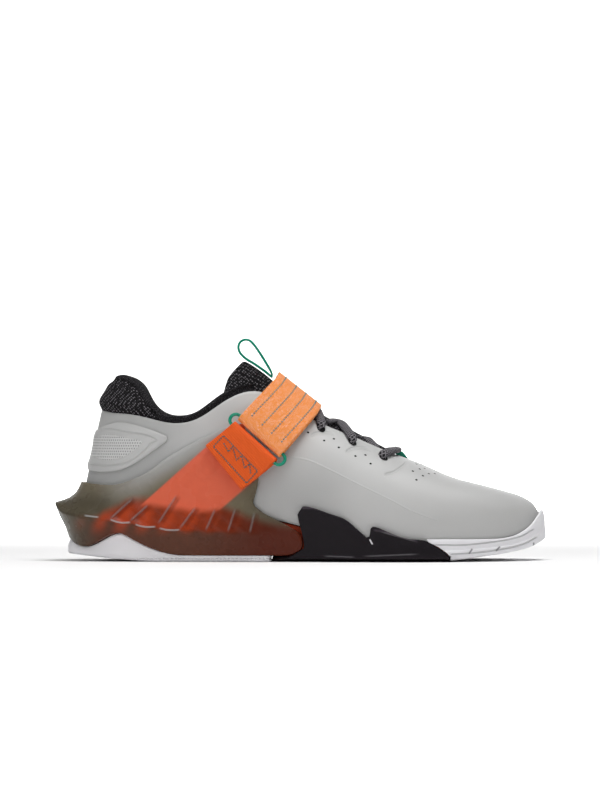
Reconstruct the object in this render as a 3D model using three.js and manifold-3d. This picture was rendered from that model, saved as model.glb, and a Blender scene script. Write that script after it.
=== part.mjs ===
import * as THREE from 'three';
import { mergeVertices } from 'three/addons/utils/BufferGeometryUtils.js';
import Module from 'manifold-3d';

const wasm = await Module();
wasm.setup();

// A right weightlifting shoe, in millimetres. +X runs from heel to toe, +Y to the medial side, +Z up.
// The origin lies on the flat under the heel.

// Sizes of the last and of the stack under it
const lastLength = 283;
const heelToOrigin = 56;
const ballWidth = 101;
const instepHeight = 113;
const heelSeat = 30;
const ballSeat = 10.5;
const toeSpring = 6.5;
const collarHeight = 114;

// Walls, plates and clearances
const upperWall = 1.8;
const flangeWidth = 7;
const fitGap = 0.3;
const curveGap = 0.5;
const plateThickness = 3;
const insoleThickness = 4;
const foamEdge = 1;
const collarPad = 8.5;
const collarTuck = 18;
const tonguePad = 4.2;
const tongueEdge = 1.6;
const counterThickness = 1.1;
const counterRim = 0.35;
const cageWall = 1.5;
const cageBase = 2.1;
const cageSkirt = 1.2;
const finReach = 13;
const finAbove = 4.5;
const finBelow = 15;
const ribHeight = 1.5;
const ribReach = 24;
const wrapWall = 2.2;
const wrapTurnIn = 5;
const bumperWall = 2.4;
const bumperStep = 0.7;
const soleStep = 1.1;
const webbing = 1.5;
const ringWire = 2.6;
const ringLength = 46;
const ringWidth = 10.5;
const laceWidth = 6;
const laceThickness = 2;
const laceBow = 0.6;
const barBow = 0.5;
const loopWidth = 9;
const loopThickness = 1.2;
const loopHeight = 12.5;
const tabWidth = 7;
const tabThickness = 0.9;
const foldRadius = ringWire / 2 + curveGap;

// The last: a row for each section, all shares. lateral, medial and crest are of half the ball
// width, seat of the heel's lift, ridge of the instep height, bulge of the upper's wall, and lean
// is inwards for each mm up.
const lastSections = [
  { along: 0.00, lateral: 0.00, medial: 0.00, crest: 0.00, seat: 1.00, spring: 0, ridge: 1.60, square: 3.0, lean: 0.21, bulge: 0.00 },
  { along: 0.03, lateral: 0.40, medial: 0.40, crest: 0.00, seat: 1.00, spring: 0, ridge: 1.60, square: 3.0, lean: 0.20, bulge: 0.28 },
  { along: 0.08, lateral: 0.56, medial: 0.56, crest: 0.00, seat: 1.00, spring: 0, ridge: 1.60, square: 3.0, lean: 0.17, bulge: 0.44 },
  { along: 0.15, lateral: 0.645, medial: 0.64, crest: -0.01, seat: 1.00, spring: 0, ridge: 1.58, square: 3.0, lean: 0.13, bulge: 0.56 },
  { along: 0.25, lateral: 0.683, medial: 0.64, crest: -0.02, seat: 1.00, spring: 0, ridge: 1.36, square: 2.8, lean: 0.10, bulge: 0.56 },
  { along: 0.33, lateral: 0.71, medial: 0.59, crest: -0.04, seat: 0.95, spring: 0, ridge: 1.10, square: 2.6, lean: 0.06, bulge: 0.56 },
  { along: 0.38, lateral: 0.74, medial: 0.57, crest: -0.04, seat: 0.88, spring: 0, ridge: 1.00, square: 2.5, lean: 0.04, bulge: 0.56 },
  { along: 0.45, lateral: 0.79, medial: 0.57, crest: -0.04, seat: 0.67, spring: 0, ridge: 0.885, square: 2.4, lean: 0.02, bulge: 0.67 },
  { along: 0.53, lateral: 0.87, medial: 0.64, crest: -0.03, seat: 0.38, spring: 0, ridge: 0.772, square: 2.4, lean: 0, bulge: 0.78 },
  { along: 0.60, lateral: 0.95, medial: 0.75, crest: -0.01, seat: 0.18, spring: 0, ridge: 0.682, square: 2.5, lean: 0, bulge: 0.83 },
  { along: 0.66, lateral: 0.99, medial: 0.88, crest: 0.01, seat: 0.06, spring: 0, ridge: 0.605, square: 2.6, lean: 0, bulge: 0.83 },
  { along: 0.72, lateral: 1.00, medial: 0.97, crest: 0.03, seat: 0.00, spring: 0, ridge: 0.541, square: 2.8, lean: 0, bulge: 0.78 },
  { along: 0.76, lateral: 0.97, medial: 1.00, crest: 0.05, seat: 0.00, spring: 0, ridge: 0.500, square: 3.0, lean: 0, bulge: 0.67 },
  { along: 0.80, lateral: 0.92, medial: 1.00, crest: 0.07, seat: 0.00, spring: 0, ridge: 0.452, square: 3.3, lean: 0, bulge: 0.56 },
  { along: 0.87, lateral: 0.75, medial: 0.945, crest: 0.11, seat: 0.00, spring: 0.15, ridge: 0.408, square: 4.0, lean: 0, bulge: 0.33 },
  { along: 0.93, lateral: 0.515, medial: 0.82, crest: 0.15, seat: 0.00, spring: 0.45, ridge: 0.372, square: 4.6, lean: 0, bulge: 0.17 },
  { along: 0.97, lateral: 0.265, medial: 0.66, crest: 0.17, seat: 0.00, spring: 0.75, ridge: 0.352, square: 5.0, lean: 0, bulge: 0.00 },
  { along: 1.00, lateral: -0.18, medial: 0.18, crest: 0.18, seat: 0.00, spring: 1.00, ridge: 0.335, square: 5.2, lean: 0, bulge: 0.00 },
];

// Throat edge: where each rib line of the upper ends, half is a share of half the ball width
const throatRows = [
  { turn: 0.43, along: 0.391, half: 0.33 },
  { turn: 0.50, along: 0.466, half: 0.375 },
  { turn: 0.60, along: 0.567, half: 0.37 },
  { turn: 0.70, along: 0.649, half: 0.32 },
  { turn: 0.80, along: 0.695, half: 0.245 },
  { turn: 0.90, along: 0.717, half: 0.14 },
  { turn: 1.00, along: 0.7225, half: 0.00 },
];

// Top edge of the grey upper and of the padded collar, shares of the collar height
const collarRows = [
  { along: 0.00, upper: 0.805, collar: 0.985 },
  { along: 0.03, upper: 0.798, collar: 1.000 },
  { along: 0.06, upper: 0.790, collar: 1.005 },
  { along: 0.09, upper: 0.787, collar: 0.995 },
  { along: 0.12, upper: 0.780, collar: 0.960 },
  { along: 0.155, upper: 0.760, collar: 0.850 },
  { along: 0.18, upper: 0.742, collar: 0.800 },
  { along: 0.21, upper: 0.729, collar: 0.778 },
  { along: 0.24, upper: 0.739, collar: 0.786 },
  { along: 0.27, upper: 0.772, collar: 0.825 },
  { along: 0.305, upper: 0.845, collar: 0.893 },
  { along: 0.327, upper: 0.885, collar: 0.925 },
  { along: 0.348, upper: 0.908, collar: 0.940 },
  { along: 0.385, upper: 0.925, collar: 0.955 },
];

// Cage, with heights as shares of the heel seat
const cageTopRows = [
  { along: 0.00, height: 1.59 },
  { along: 0.03, height: 1.55 },
  { along: 0.075, height: 1.53 },
  { along: 0.11, height: 1.63 },
  { along: 0.15, height: 1.80 },
  { along: 0.19, height: 2.09 },
  { along: 0.24, height: 2.36 },
  { along: 0.30, height: 2.64 },
  { along: 0.36, height: 2.80 },
];
const cageFrontRows = [
  { height: 0.00, along: 0.440 },
  { height: 0.11, along: 0.452 },
  { height: 0.18, along: 0.474 },
  { height: 0.30, along: 0.484 },
  { height: 0.50, along: 0.481 },
  { height: 0.64, along: 0.477 },
  { height: 0.76, along: 0.428 },
  { height: 0.88, along: 0.392 },
  { height: 1.02, along: 0.374 },
  { height: 1.16, along: 0.372 },
  { height: 1.32, along: 0.380 },
  { height: 1.53, along: 0.398 },
  { height: 1.75, along: 0.394 },
  { height: 2.10, along: 0.380 },
  { height: 2.85, along: 0.352 },
];
const finRows = [
  { along: 0.00, height: 1.08 },
  { along: 0.012, height: 1.00 },
  { along: 0.035, height: 0.92 },
  { along: 0.07, height: 0.84 },
  { along: 0.14, height: 0.71 },
  { along: 0.22, height: 0.64 },
  { along: 0.48, height: 0.60 },
];

// Heel outsole: top edge of its side wall and height of its bottom as shares of the heel seat,
// reach as a share of the plate
const heelSoleRows = [
  { along: 0.000, top: 0.46, bottom: 0.130, reach: 2.533 },
  { along: 0.010, top: 0.33, bottom: 0.120, reach: 2.167 },
  { along: 0.025, top: 0.27, bottom: 0.100, reach: 1.500 },
  { along: 0.050, top: 0.37, bottom: 0.070, reach: 1.067 },
  { along: 0.088, top: 0.54, bottom: 0.040, reach: 0.933 },
  { along: 0.130, top: 0.37, bottom: 0.015, reach: 0.867 },
  { along: 0.175, top: 0.20, bottom: 0.000, reach: 0.800 },
  { along: 0.220, top: 0.12, bottom: 0.000, reach: 0.733 },
  { along: 0.415, top: 0.12, bottom: 0.000, reach: 0.667 },
];
const heelSoleEnd = 0.415;

// Midfoot wrap: a row for each section, heights of the lobes as shares of the heel seat
const wrapRows = [
  { share: 0.000, top: 0.96 },
  { share: 0.030, top: 1.12 },
  { share: 0.070, top: 1.12 },
  { share: 0.130, top: 1.08 },
  { share: 0.200, top: 1.02 },
  { share: 0.270, top: 0.96 },
  { share: 0.340, top: 0.91 },
  { share: 0.385, top: 0.85 },
  { share: 0.420, top: 0.73 },
  { share: 0.460, top: 0.57 },
  { share: 0.490, top: 0.49 },
  { share: 0.512, top: 0.52 },
  { share: 0.530, top: 0.68 },
  { share: 0.550, top: 0.715 },
  { share: 0.600, top: 0.70 },
  { share: 0.680, top: 0.63 },
  { share: 0.760, top: 0.55 },
  { share: 0.840, top: 0.48 },
  { share: 0.920, top: 0.455 },
  { share: 1.000, top: 0.45 },
];
const wrapEndRows = [
  { height: 0.00, back: 0.417, front: 0.796 },
  { height: 0.11, back: 0.456, front: 0.795 },
  { height: 0.18, back: 0.478, front: 0.788 },
  { height: 0.30, back: 0.488, front: 0.770 },
  { height: 0.40, back: 0.486, front: 0.748 },
  { height: 0.50, back: 0.485, front: 0.742 },
  { height: 0.64, back: 0.481, front: 0.742 },
  { height: 0.90, back: 0.472, front: 0.742 },
  { height: 1.15, back: 0.477, front: 0.742 },
];

// Forefoot outsole: rim height, bottom height as shares of the heel seat, reach beyond the last
const bumperRows = [
  { along: 0.735, rim: 0.46, bottom: 0.000 },
  { along: 0.79, rim: 0.46, bottom: 0.012 },
  { along: 0.85, rim: 0.455, bottom: 0.070 },
  { along: 0.90, rim: 0.46, bottom: 0.130 },
  { along: 0.93, rim: 0.50, bottom: 0.170 },
  { along: 0.955, rim: 0.60, bottom: 0.215 },
  { along: 0.975, rim: 0.75, bottom: 0.270 },
  { along: 0.99, rim: 0.93, bottom: 0.340 },
  { along: 1.00, rim: 1.02, bottom: 0.390 },
];

// Heel counter: lower and upper edge as shares of the collar height
const counterRows = [
  { along: 0.00, low: 0.485, high: 0.695 },
  { along: 0.04, low: 0.475, high: 0.725 },
  { along: 0.08, low: 0.480, high: 0.742 },
  { along: 0.12, low: 0.520, high: 0.725 },
  { along: 0.155, low: 0.580, high: 0.700 },
  { along: 0.19, low: 0.640, high: 0.665 },
];
const counterEnd = 0.19;
const windowEnd = 0.145;

// Tongue: a row for each section, half width as a share of half the ball width, lift of the pad
const tongueRows = [
  { share: 0.00, along: 0.700, half: 0.33, lift: -0.571, sweep: 0.000 },
  { share: 0.12, along: 0.660, half: 0.41, lift: -0.333, sweep: 0.000 },
  { share: 0.26, along: 0.600, half: 0.47, lift: -0.250, sweep: 0.000 },
  { share: 0.40, along: 0.540, half: 0.50, lift: -0.225, sweep: 0.000 },
  { share: 0.54, along: 0.480, half: 0.52, lift: -0.060, sweep: 0.000 },
  { share: 0.68, along: 0.425, half: 0.54, lift: 0.714, sweep: 0.004 },
  { share: 0.82, along: 0.385, half: 0.55, lift: 1.048, sweep: 0.014 },
  { share: 0.92, along: 0.362, half: 0.55, lift: 1.000, sweep: 0.026 },
  { share: 1.00, along: 0.347, half: 0.54, lift: 0.762, sweep: 0.036 },
];

// Strap: edges of the band, drop is -1 at the ring, 0 on the ridge and 1 at the medial end. Lift
// and the back edge's tilt above it are shares of the tongue's pad.
const strapRows = [
  { share: 0.00, back: 0.338, front: 0.427, drop: -1.00, lift: 0.714, tilt: 0.00 },
  { share: 0.16, back: 0.373, front: 0.470, drop: -0.73, lift: 0.650, tilt: 0.25 },
  { share: 0.32, back: 0.398, front: 0.499, drop: -0.46, lift: 0.700, tilt: 0.75 },
  { share: 0.46, back: 0.411, front: 0.513, drop: -0.20, lift: 0.700, tilt: 1.15 },
  { share: 0.56, back: 0.411, front: 0.514, drop: 0.02, lift: 0.700, tilt: 1.00 },
  { share: 0.68, back: 0.408, front: 0.512, drop: 0.28, lift: 0.800, tilt: 0.70 },
  { share: 0.84, back: 0.396, front: 0.500, drop: 0.62, lift: 0.650, tilt: 0.30 },
  { share: 1.00, back: 0.380, front: 0.478, drop: 1.00, lift: 0.667, tilt: 0.00 },
];
// Ends of the strap and of the lateral anchor, heights as shares of the instep height
const strapEnds = {
  lateral: { back: 0.730, front: 0.523 },
  medial: { back: 0.40, front: 0.36 },
};
const anchorRows = [
  { share: 0, back: 0.275, front: 0.353, highBack: 0.618, highFront: 0.385 },
  { share: 1, back: 0.333, front: 0.418, highBack: 0.717, highFront: 0.497 },
];

// Pull loop: its strand above the tongue's tip, as shares of the loop's height
const loopRows = [
  { forward: -0.22, up: 0.28 },
  { forward: -0.32, up: 0.62 },
  { forward: -0.22, up: 0.88 },
  { forward: 0.02, up: 1.00 },
  { forward: 0.30, up: 0.96 },
  { forward: 0.58, up: 0.60 },
  { forward: 0.86, up: 0.18 },
  { forward: 1.14, up: -0.28 },
  { forward: 1.38, up: -0.70 },
];

// Lace crossings: eyelet end and far end past the ridge, girth in shares of a quarter turn from
// the ridge, lift in shares of the lace's thickness. The last one lies in the throat.
const crossingRows = [
  { along: 0.521, girth: 0.30, lift: 0, farAlong: 0.501, farGirth: 0.14, farLift: -0.5 },
  { along: 0.588, girth: 0.29, lift: 0, farAlong: 0.538, farGirth: 0.15, farLift: -0.5 },
  { along: 0.637, girth: 0.13, lift: -0.4, farAlong: 0.597, farGirth: 0.08, farLift: -0.5 },
];
// Lace bar: its eyelets, and how far it bows to the toe
const barEyelet = { along: 0.655, girth: 0.31 };
const barReach = 0.024;

// Interpolation and small helpers
const clamp = (value, low, high) => Math.min(high, Math.max(low, value));
const mix = (a, b, share) => a + (b - a) * share;
const halfBall = ballWidth / 2;

function ease(low, high, value) {
  const share = clamp((value - low) / (high - low), 0, 1);
  return share * share * (3 - 2 * share);
}

function smoothTable(rows, key, column, mapKey = (value) => value) {
  const keys = rows.map((row) => mapKey(row[key]));
  const values = rows.map((row) => row[column]);
  const last = keys.length - 1;
  const slopes = keys.map((_, i) => {
    const before = i > 0 ? (values[i] - values[i - 1]) / (keys[i] - keys[i - 1]) : null;
    const after = i < last ? (values[i + 1] - values[i]) / (keys[i + 1] - keys[i]) : null;
    if (before === null) return after;
    if (after === null) return before;
    if (before * after <= 0) return 0;
    return (2 * before * after) / (before + after);
  });
  return (at) => {
    const value = clamp(at, keys[0], keys[last]);
    let i = 0;
    while (i < last - 1 && value > keys[i + 1]) i += 1;
    const span = keys[i + 1] - keys[i];
    const s = (value - keys[i]) / span;
    const s2 = s * s;
    const s3 = s2 * s;
    return values[i] * (2 * s3 - 3 * s2 + 1) + slopes[i] * span * (s3 - 2 * s2 + s)
      + values[i + 1] * (3 * s2 - 2 * s3) + slopes[i + 1] * span * (s3 - s2);
  };
}

// A turn goes round the outline: 0 at the heel, 1 at the toe, negative on the lateral side.
const turnOf = (along) => Math.acos(clamp(1 - 2 * along, -1, 1)) / Math.PI;
const alongOf = (turn) => (1 - Math.cos(Math.PI * Math.abs(turn))) / 2;
const placeX = (along) => along * lastLength - heelToOrigin;
const shareOfX = (x) => (x + heelToOrigin) / lastLength;

const lateralWidth = smoothTable(lastSections, 'along', 'lateral', turnOf);
const medialWidth = smoothTable(lastSections, 'along', 'medial', turnOf);
const crestShare = smoothTable(lastSections, 'along', 'crest');
const seatShare = smoothTable(lastSections, 'along', 'seat');
const springShare = smoothTable(lastSections, 'along', 'spring');
const ridgeShare = smoothTable(lastSections, 'along', 'ridge');
const squareness = smoothTable(lastSections, 'along', 'square');
const leanShare = smoothTable(lastSections, 'along', 'lean');
const bulgeShare = smoothTable(lastSections, 'along', 'bulge');

const seatHeight = (along) => ballSeat + (heelSeat - ballSeat) * seatShare(along)
  + toeSpring * springShare(along);
const ridgeHeight = (along) => instepHeight * ridgeShare(along);
const crestY = (along) => halfBall * crestShare(along);

function wrapTurn(turn) {
  if (turn > 1) return turn - 2;
  if (turn < -1) return turn + 2;
  return turn;
}

function outline(turn) {
  const at = wrapTurn(turn);
  const y = at < 0 ? -lateralWidth(-at) : medialWidth(at);
  return new THREE.Vector2(placeX(alongOf(at)), y * halfBall);
}

function outlineNormal(turn) {
  const step = 0.004;
  const ahead = outline(turn + step);
  const behind = outline(turn - step);
  return new THREE.Vector2(behind.y - ahead.y, ahead.x - behind.x).normalize();
}

// The spine is the line under the ridge that the sections close on.
const spineHeel = 0.12;
const spineToe = 0.83;
const spineBlend = 0.04;

function spine(turn) {
  const along = alongOf(turn);
  const low = (along + spineHeel + Math.hypot(along - spineHeel, spineBlend)) / 2;
  const held = (low + spineToe - Math.hypot(low - spineToe, spineBlend)) / 2;
  return new THREE.Vector2(placeX(held), crestY(held));
}

// Climb goes up a section: 0 at the seat, a quarter turn at the ridge.
const quarter = Math.PI / 2;

function lastBase(turn, climb) {
  const edge = outline(turn);
  const centre = spine(turn);
  const along = alongOf(turn);
  const power = 2 / squareness(along);
  const inward = Math.max(0, Math.cos(climb)) ** power;
  const rise = Math.max(0, Math.sin(climb)) ** power;
  const plan = centre.clone().lerp(edge, inward);
  const seat = seatHeight(along);
  const height = (ridgeHeight(shareOfX(plan.x)) - seat) * rise;
  const normal = outlineNormal(turn);
  const bulge = upperWall * bulgeShare(along) * 4 * rise * (1 - rise);
  const side = bulge - leanShare(along) * height;
  return new THREE.Vector3(plan.x + normal.x * side * inward, plan.y + normal.y * side * inward, seat + height);
}

function skin(turn, climb, depth) {
  const point = lastBase(turn, climb);
  if (depth === 0) return point;
  const turnStep = 0.003;
  const climbStep = 0.01;
  const low = Math.max(0, climb - climbStep);
  const high = Math.min(quarter, climb + climbStep);
  const upward = lastBase(turn, high).sub(lastBase(turn, low));
  const forward = lastBase(turn + turnStep, climb).sub(lastBase(turn - turnStep, climb));
  return point.addScaledVector(upward.cross(forward).normalize(), depth);
}

function climbAt(turn, height) {
  const along = alongOf(turn);
  const seat = seatHeight(along);
  const centre = spine(turn);
  const edge = outline(turn);
  const power = squareness(along) / 2;
  let climb = 0;
  for (let pass = 0; pass < 3; pass += 1) {
    const inward = Math.cos(climb) ** (1 / power);
    const x = mix(centre.x, edge.x, inward);
    const rise = clamp((height - seat) / (ridgeHeight(shareOfX(x)) - seat), 0, 1);
    climb = Math.asin(rise ** power);
  }
  return climb;
}

// Point of the outside wall at a height, carried straight down below the seat
function wall(turn, height, depth) {
  const seat = seatHeight(alongOf(turn));
  if (height > seat + 0.5) return skin(turn, climbAt(turn, height), depth);
  const edge = outline(turn);
  const normal = outlineNormal(turn);
  return new THREE.Vector3(edge.x + normal.x * depth, edge.y + normal.y * depth, height);
}

// Point beside the outline, at the height of the floor function where it lies
function besideOutline(turn, heightOf, depth) {
  const edge = outline(turn);
  const plan = edge.addScaledVector(outlineNormal(turn), depth);
  return new THREE.Vector3(plan.x, plan.y, heightOf(clamp(shareOfX(plan.x), 0, 1)));
}

// Point over the instep: girth is 0 at the ridge, -1 at the lateral and 1 at the medial seat.
function instep(along, girth, depth) {
  const side = girth < 0 ? -1 : 1;
  return skin(side * turnOf(along), quarter * (1 - Math.abs(girth)), depth);
}

// Turn and climb of the skin over a point of the plan
function turnOver(plan) {
  const side = plan.y < crestY(shareOfX(plan.x)) ? -1 : 1;
  let low = 0.3;
  let high = 1;
  for (let pass = 0; pass < 36; pass += 1) {
    const middle = (low + high) / 2;
    const centre = spine(side * middle);
    const toEdge = outline(side * middle).sub(centre);
    const toPoint = plan.clone().sub(centre);
    const behind = side * (toEdge.x * toPoint.y - toEdge.y * toPoint.x);
    if (behind < 0) low = middle;
    else high = middle;
  }
  const turn = side * (low + high) / 2;
  const centre = spine(turn);
  const inward = clamp(plan.distanceTo(centre) / outline(turn).distanceTo(centre), 0, 1);
  return { turn, climb: Math.acos(inward ** (squareness(alongOf(turn)) / 2)) };
}

// Length along the outline from the heel, one table for each side
function arcTable(side) {
  const steps = 400;
  const lengths = [0];
  for (let i = 1; i <= steps; i += 1) {
    const piece = outline(side * i / steps).distanceTo(outline(side * (i - 1) / steps));
    lengths.push(lengths[i - 1] + piece);
  }
  return lengths;
}
const arcs = { lateral: arcTable(-1), medial: arcTable(1) };

function arcOf(turn) {
  const table = turn < 0 ? arcs.lateral : arcs.medial;
  const place = Math.abs(turn) * (table.length - 1);
  const i = Math.min(table.length - 2, Math.floor(place));
  return mix(table[i], table[i + 1], place - i);
}

function turnAtArc(arc, side) {
  const table = side < 0 ? arcs.lateral : arcs.medial;
  let i = 0;
  while (i < table.length - 2 && table[i + 1] < arc) i += 1;
  return side * (i + (arc - table[i]) / (table[i + 1] - table[i])) / (table.length - 1);
}

// Closed meshes from grids and loops of points
class Solid {
  constructor() {
    this.points = [];
    this.faces = [];
  }

  add(point) {
    this.points.push(point.x, point.y, point.z);
    return this.points.length / 3 - 1;
  }

  quad(a, b, c, d) {
    if (a !== b && b !== c && a !== c) this.faces.push(a, b, c);
    if (a !== c && c !== d && a !== d) this.faces.push(a, c, d);
  }

  geometry() {
    const geometry = new THREE.BufferGeometry();
    let faces = this.faces;
    if (signedVolume(this.points, faces) < 0) {
      faces = faces.map((_, i) => this.faces[i - (i % 3) + 2 - (i % 3)]);
    }
    geometry.setAttribute('position', new THREE.Float32BufferAttribute(this.points, 3));
    geometry.setIndex(faces);
    return geometry;
  }
}

function signedVolume(points, faces) {
  const corner = (i) => new THREE.Vector3(points[3 * i], points[3 * i + 1], points[3 * i + 2]);
  let volume = 0;
  for (let f = 0; f < faces.length; f += 3) {
    volume += corner(faces[f]).dot(corner(faces[f + 1]).cross(corner(faces[f + 2])));
  }
  return volume / 6;
}

// A wall between two skins over one grid. outer and inner give the point of column i and row j.
function shell(columns, rows, outer, inner, closed = false) {
  const solid = new Solid();
  const skins = [outer, inner].map((pointAt) => {
    const ids = [];
    for (let i = 0; i < columns; i += 1) {
      ids.push([]);
      for (let j = 0; j < rows; j += 1) ids[i].push(solid.add(pointAt(i, j)));
    }
    return ids;
  });
  const [out, back] = skins;
  const columnSteps = closed ? columns : columns - 1;
  for (let i = 0; i < columnSteps; i += 1) {
    const n = (i + 1) % columns;
    for (let j = 0; j < rows - 1; j += 1) {
      solid.quad(out[i][j], out[n][j], out[n][j + 1], out[i][j + 1]);
      solid.quad(back[i][j], back[i][j + 1], back[n][j + 1], back[n][j]);
    }
    solid.quad(out[i][0], back[i][0], back[n][0], out[n][0]);
    solid.quad(out[i][rows - 1], out[n][rows - 1], back[n][rows - 1], back[i][rows - 1]);
  }
  if (!closed) {
    const end = columns - 1;
    for (let j = 0; j < rows - 1; j += 1) {
      solid.quad(out[0][j], out[0][j + 1], back[0][j + 1], back[0][j]);
      solid.quad(out[end][j], back[end][j], back[end][j + 1], out[end][j + 1]);
    }
  }
  return solid.geometry();
}

// Loops of equal count joined into a body. Each end is closed by strips across, from a tip vertex
// at the toe when tipped, and from the open ends of a U otherwise.
function dish(loops, tipped) {
  const solid = new Solid();
  const ids = loops.map((loop) => loop.map((point) => solid.add(point)));
  const count = loops[0].length;
  for (let k = 0; k < ids.length - 1; k += 1) {
    for (let i = 0; i < count; i += 1) {
      const n = (i + 1) % count;
      solid.quad(ids[k][i], ids[k][n], ids[k + 1][n], ids[k + 1][i]);
    }
  }
  const half = tipped ? count / 2 : (count - 1) / 2;
  const other = (i) => (tipped ? (count - i) % count : count - 1 - i);
  const first = ids[0];
  const last = ids[ids.length - 1];
  for (let i = 0; i < half; i += 1) {
    solid.quad(first[i], first[other(i)], first[other(i + 1)], first[i + 1]);
    solid.quad(last[i], last[i + 1], last[other(i + 1)], last[other(i)]);
  }
  return solid.geometry();
}

// A closed section carried along stations, with flat ends
function loft(sections, ring = false) {
  const solid = new Solid();
  const ids = sections.map((section) => section.map((point) => solid.add(point)));
  const count = sections[0].length;
  const steps = ring ? ids.length : ids.length - 1;
  for (let k = 0; k < steps; k += 1) {
    const next = ids[(k + 1) % ids.length];
    for (let i = 0; i < count; i += 1) {
      const n = (i + 1) % count;
      solid.quad(ids[k][i], ids[k][n], next[n], next[i]);
    }
  }
  if (!ring) {
    const end = ids[ids.length - 1];
    for (let i = 1; i < count / 2; i += 1) {
      solid.quad(ids[0][i - 1], ids[0][count - i], ids[0][count - i - 1], ids[0][i]);
      solid.quad(end[i - 1], end[i], end[count - i - 1], end[count - i]);
    }
  }
  return solid.geometry();
}

// Booleans
function toSolid(geometry) {
  const bare = geometry.clone();
  bare.deleteAttribute('normal');
  bare.deleteAttribute('uv');
  const merged = mergeVertices(bare, 1e-3);
  const vertProperties = new Float32Array(merged.attributes.position.array);
  const triVerts = new Uint32Array(merged.index.array);
  return new wasm.Manifold(new wasm.Mesh({ numProp: 3, vertProperties, triVerts }));
}

function toGeometry(solid) {
  const mesh = solid.getMesh();
  const geometry = new THREE.BufferGeometry();
  geometry.setAttribute('position', new THREE.BufferAttribute(new Float32Array(mesh.vertProperties), 3));
  geometry.setIndex(Array.from(mesh.triVerts));
  return geometry;
}

const shoe = new THREE.Group();

function addPiece(name, geometry, color, roughness) {
  geometry.computeVertexNormals();
  const material = new THREE.MeshStandardMaterial({ color, roughness, metalness: 0 });
  const mesh = new THREE.Mesh(geometry, material);
  mesh.name = name;
  shoe.add(mesh);
  return mesh;
}

// Upper
const collarEdge = smoothTable(collarRows, 'along', 'upper');
const collarTop = smoothTable(collarRows, 'along', 'collar');
const throatAlong = smoothTable(throatRows, 'turn', 'along');
const throatHalf = smoothTable(throatRows, 'turn', 'half');
const throatStart = throatRows[0].turn;

function ribLine(turn, levels) {
  const edge = outline(turn);
  const side = turn < 0 ? -1 : 1;
  const fullness = Math.abs(turn);
  let climbOver;
  if (fullness <= throatStart) {
    const top = climbAt(turn, collarHeight * collarEdge(alongOf(turn)));
    const inwardTop = Math.cos(top) ** (2 / squareness(alongOf(turn)));
    climbOver = (share) => {
      const inward = mix(1, inwardTop, share);
      return { turn, climb: Math.acos(clamp(inward, 0, 1) ** (squareness(alongOf(turn)) / 2)) };
    };
  } else {
    const along = throatAlong(fullness);
    const aim = new THREE.Vector2(placeX(along), crestY(along) + side * halfBall * throatHalf(fullness));
    climbOver = (share) => turnOver(edge.clone().lerp(aim, share));
  }
  const fine = 72;
  const marks = [];
  let length = 0;
  let previous = null;
  for (let m = 0; m <= fine; m += 1) {
    const share = (m / fine) ** 3;
    const at = climbOver(share);
    const point = lastBase(at.turn, at.climb);
    if (previous) length += point.distanceTo(previous);
    marks.push({ share, length });
    previous = point;
  }
  const places = [];
  for (let j = 0; j <= levels; j += 1) {
    const target = length * j / levels;
    let m = 0;
    while (m < fine - 1 && marks[m + 1].length < target) m += 1;
    const part = (target - marks[m].length) / (marks[m + 1].length - marks[m].length);
    const rootShare = mix(Math.cbrt(marks[m].share), Math.cbrt(marks[m + 1].share), clamp(part, 0, 1));
    places.push(climbOver(rootShare ** 3));
  }
  return places;
}

const upperStations = 64;
const upperLevels = 10;

function buildUpper() {
  const lines = [];
  for (let i = 0; i < upperStations; i += 1) {
    const turn = -1 + 2 * i / upperStations;
    lines.push({ turn, places: ribLine(turn === -1 ? -0.99999 : turn, upperLevels) });
  }
  const pointAt = (i, j, depth, lift) => {
    const { turn, places } = lines[i];
    if (j === 0) return besideOutline(turn, (along) => seatHeight(along) + lift, -flangeWidth);
    if (j === 1) return besideOutline(turn, (along) => seatHeight(along) + lift, depth);
    return skin(places[j - 1].turn, places[j - 1].climb, depth);
  };
  return shell(upperStations, upperLevels + 2, (i, j) => pointAt(i, j, 0, 0),
    (i, j) => pointAt(i, j, -upperWall, upperWall), true);
}
addPiece('upper', buildUpper(), 0xc8c8c4, 0.6);

// Padded collar: a closed section carried round the ankle, tucked inside the upper's top edge.
// Its pad thins out forwards, and its stations fall on the upper's own.
const collarStations = 54;
const padAt = (along) => mix(collarPad, collarPad * 0.26, ease(0.12, 0.36, along));

function buildCollar() {
  const inside = -(upperWall + curveGap);
  const sections = [];
  for (let i = 0; i <= collarStations; i += 1) {
    const turn = (i - collarStations / 2) / upperStations;
    const along = alongOf(turn);
    const edge = collarHeight * collarEdge(along);
    const top = collarHeight * collarTop(along);
    const rise = top - edge;
    const pad = padAt(along);
    const inner = inside - pad;
    const corners = [
      [edge - collarTuck, inside],
      [edge - fitGap * 2, inside],
      [edge + upperWall + curveGap, inside + curveGap],
      [edge + rise * 0.3 + upperWall, fitGap],
      [edge + rise * 0.75 + curveGap, 0],
      [top - fitGap, -pad * 0.25],
      [top, -pad * 0.6],
      [top - upperWall, inner + pad * 0.1],
      [edge + rise * 0.35 - upperWall, inner],
      [edge - collarTuck, inside - pad * 0.4],
    ];
    sections.push(corners.map(([height, depth]) => wall(turn, height, depth)));
  }
  return loft(sections);
}
addPiece('collar', buildCollar(), 0x1e1e20, 0.9);

// Insole
const fullTurns = Array.from({ length: upperStations }, (_, i) => -1 + 2 * i / upperStations);

function fullLoop(heightOf, depth) {
  return fullTurns.map((turn) => besideOutline(turn, heightOf, depth));
}

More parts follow.
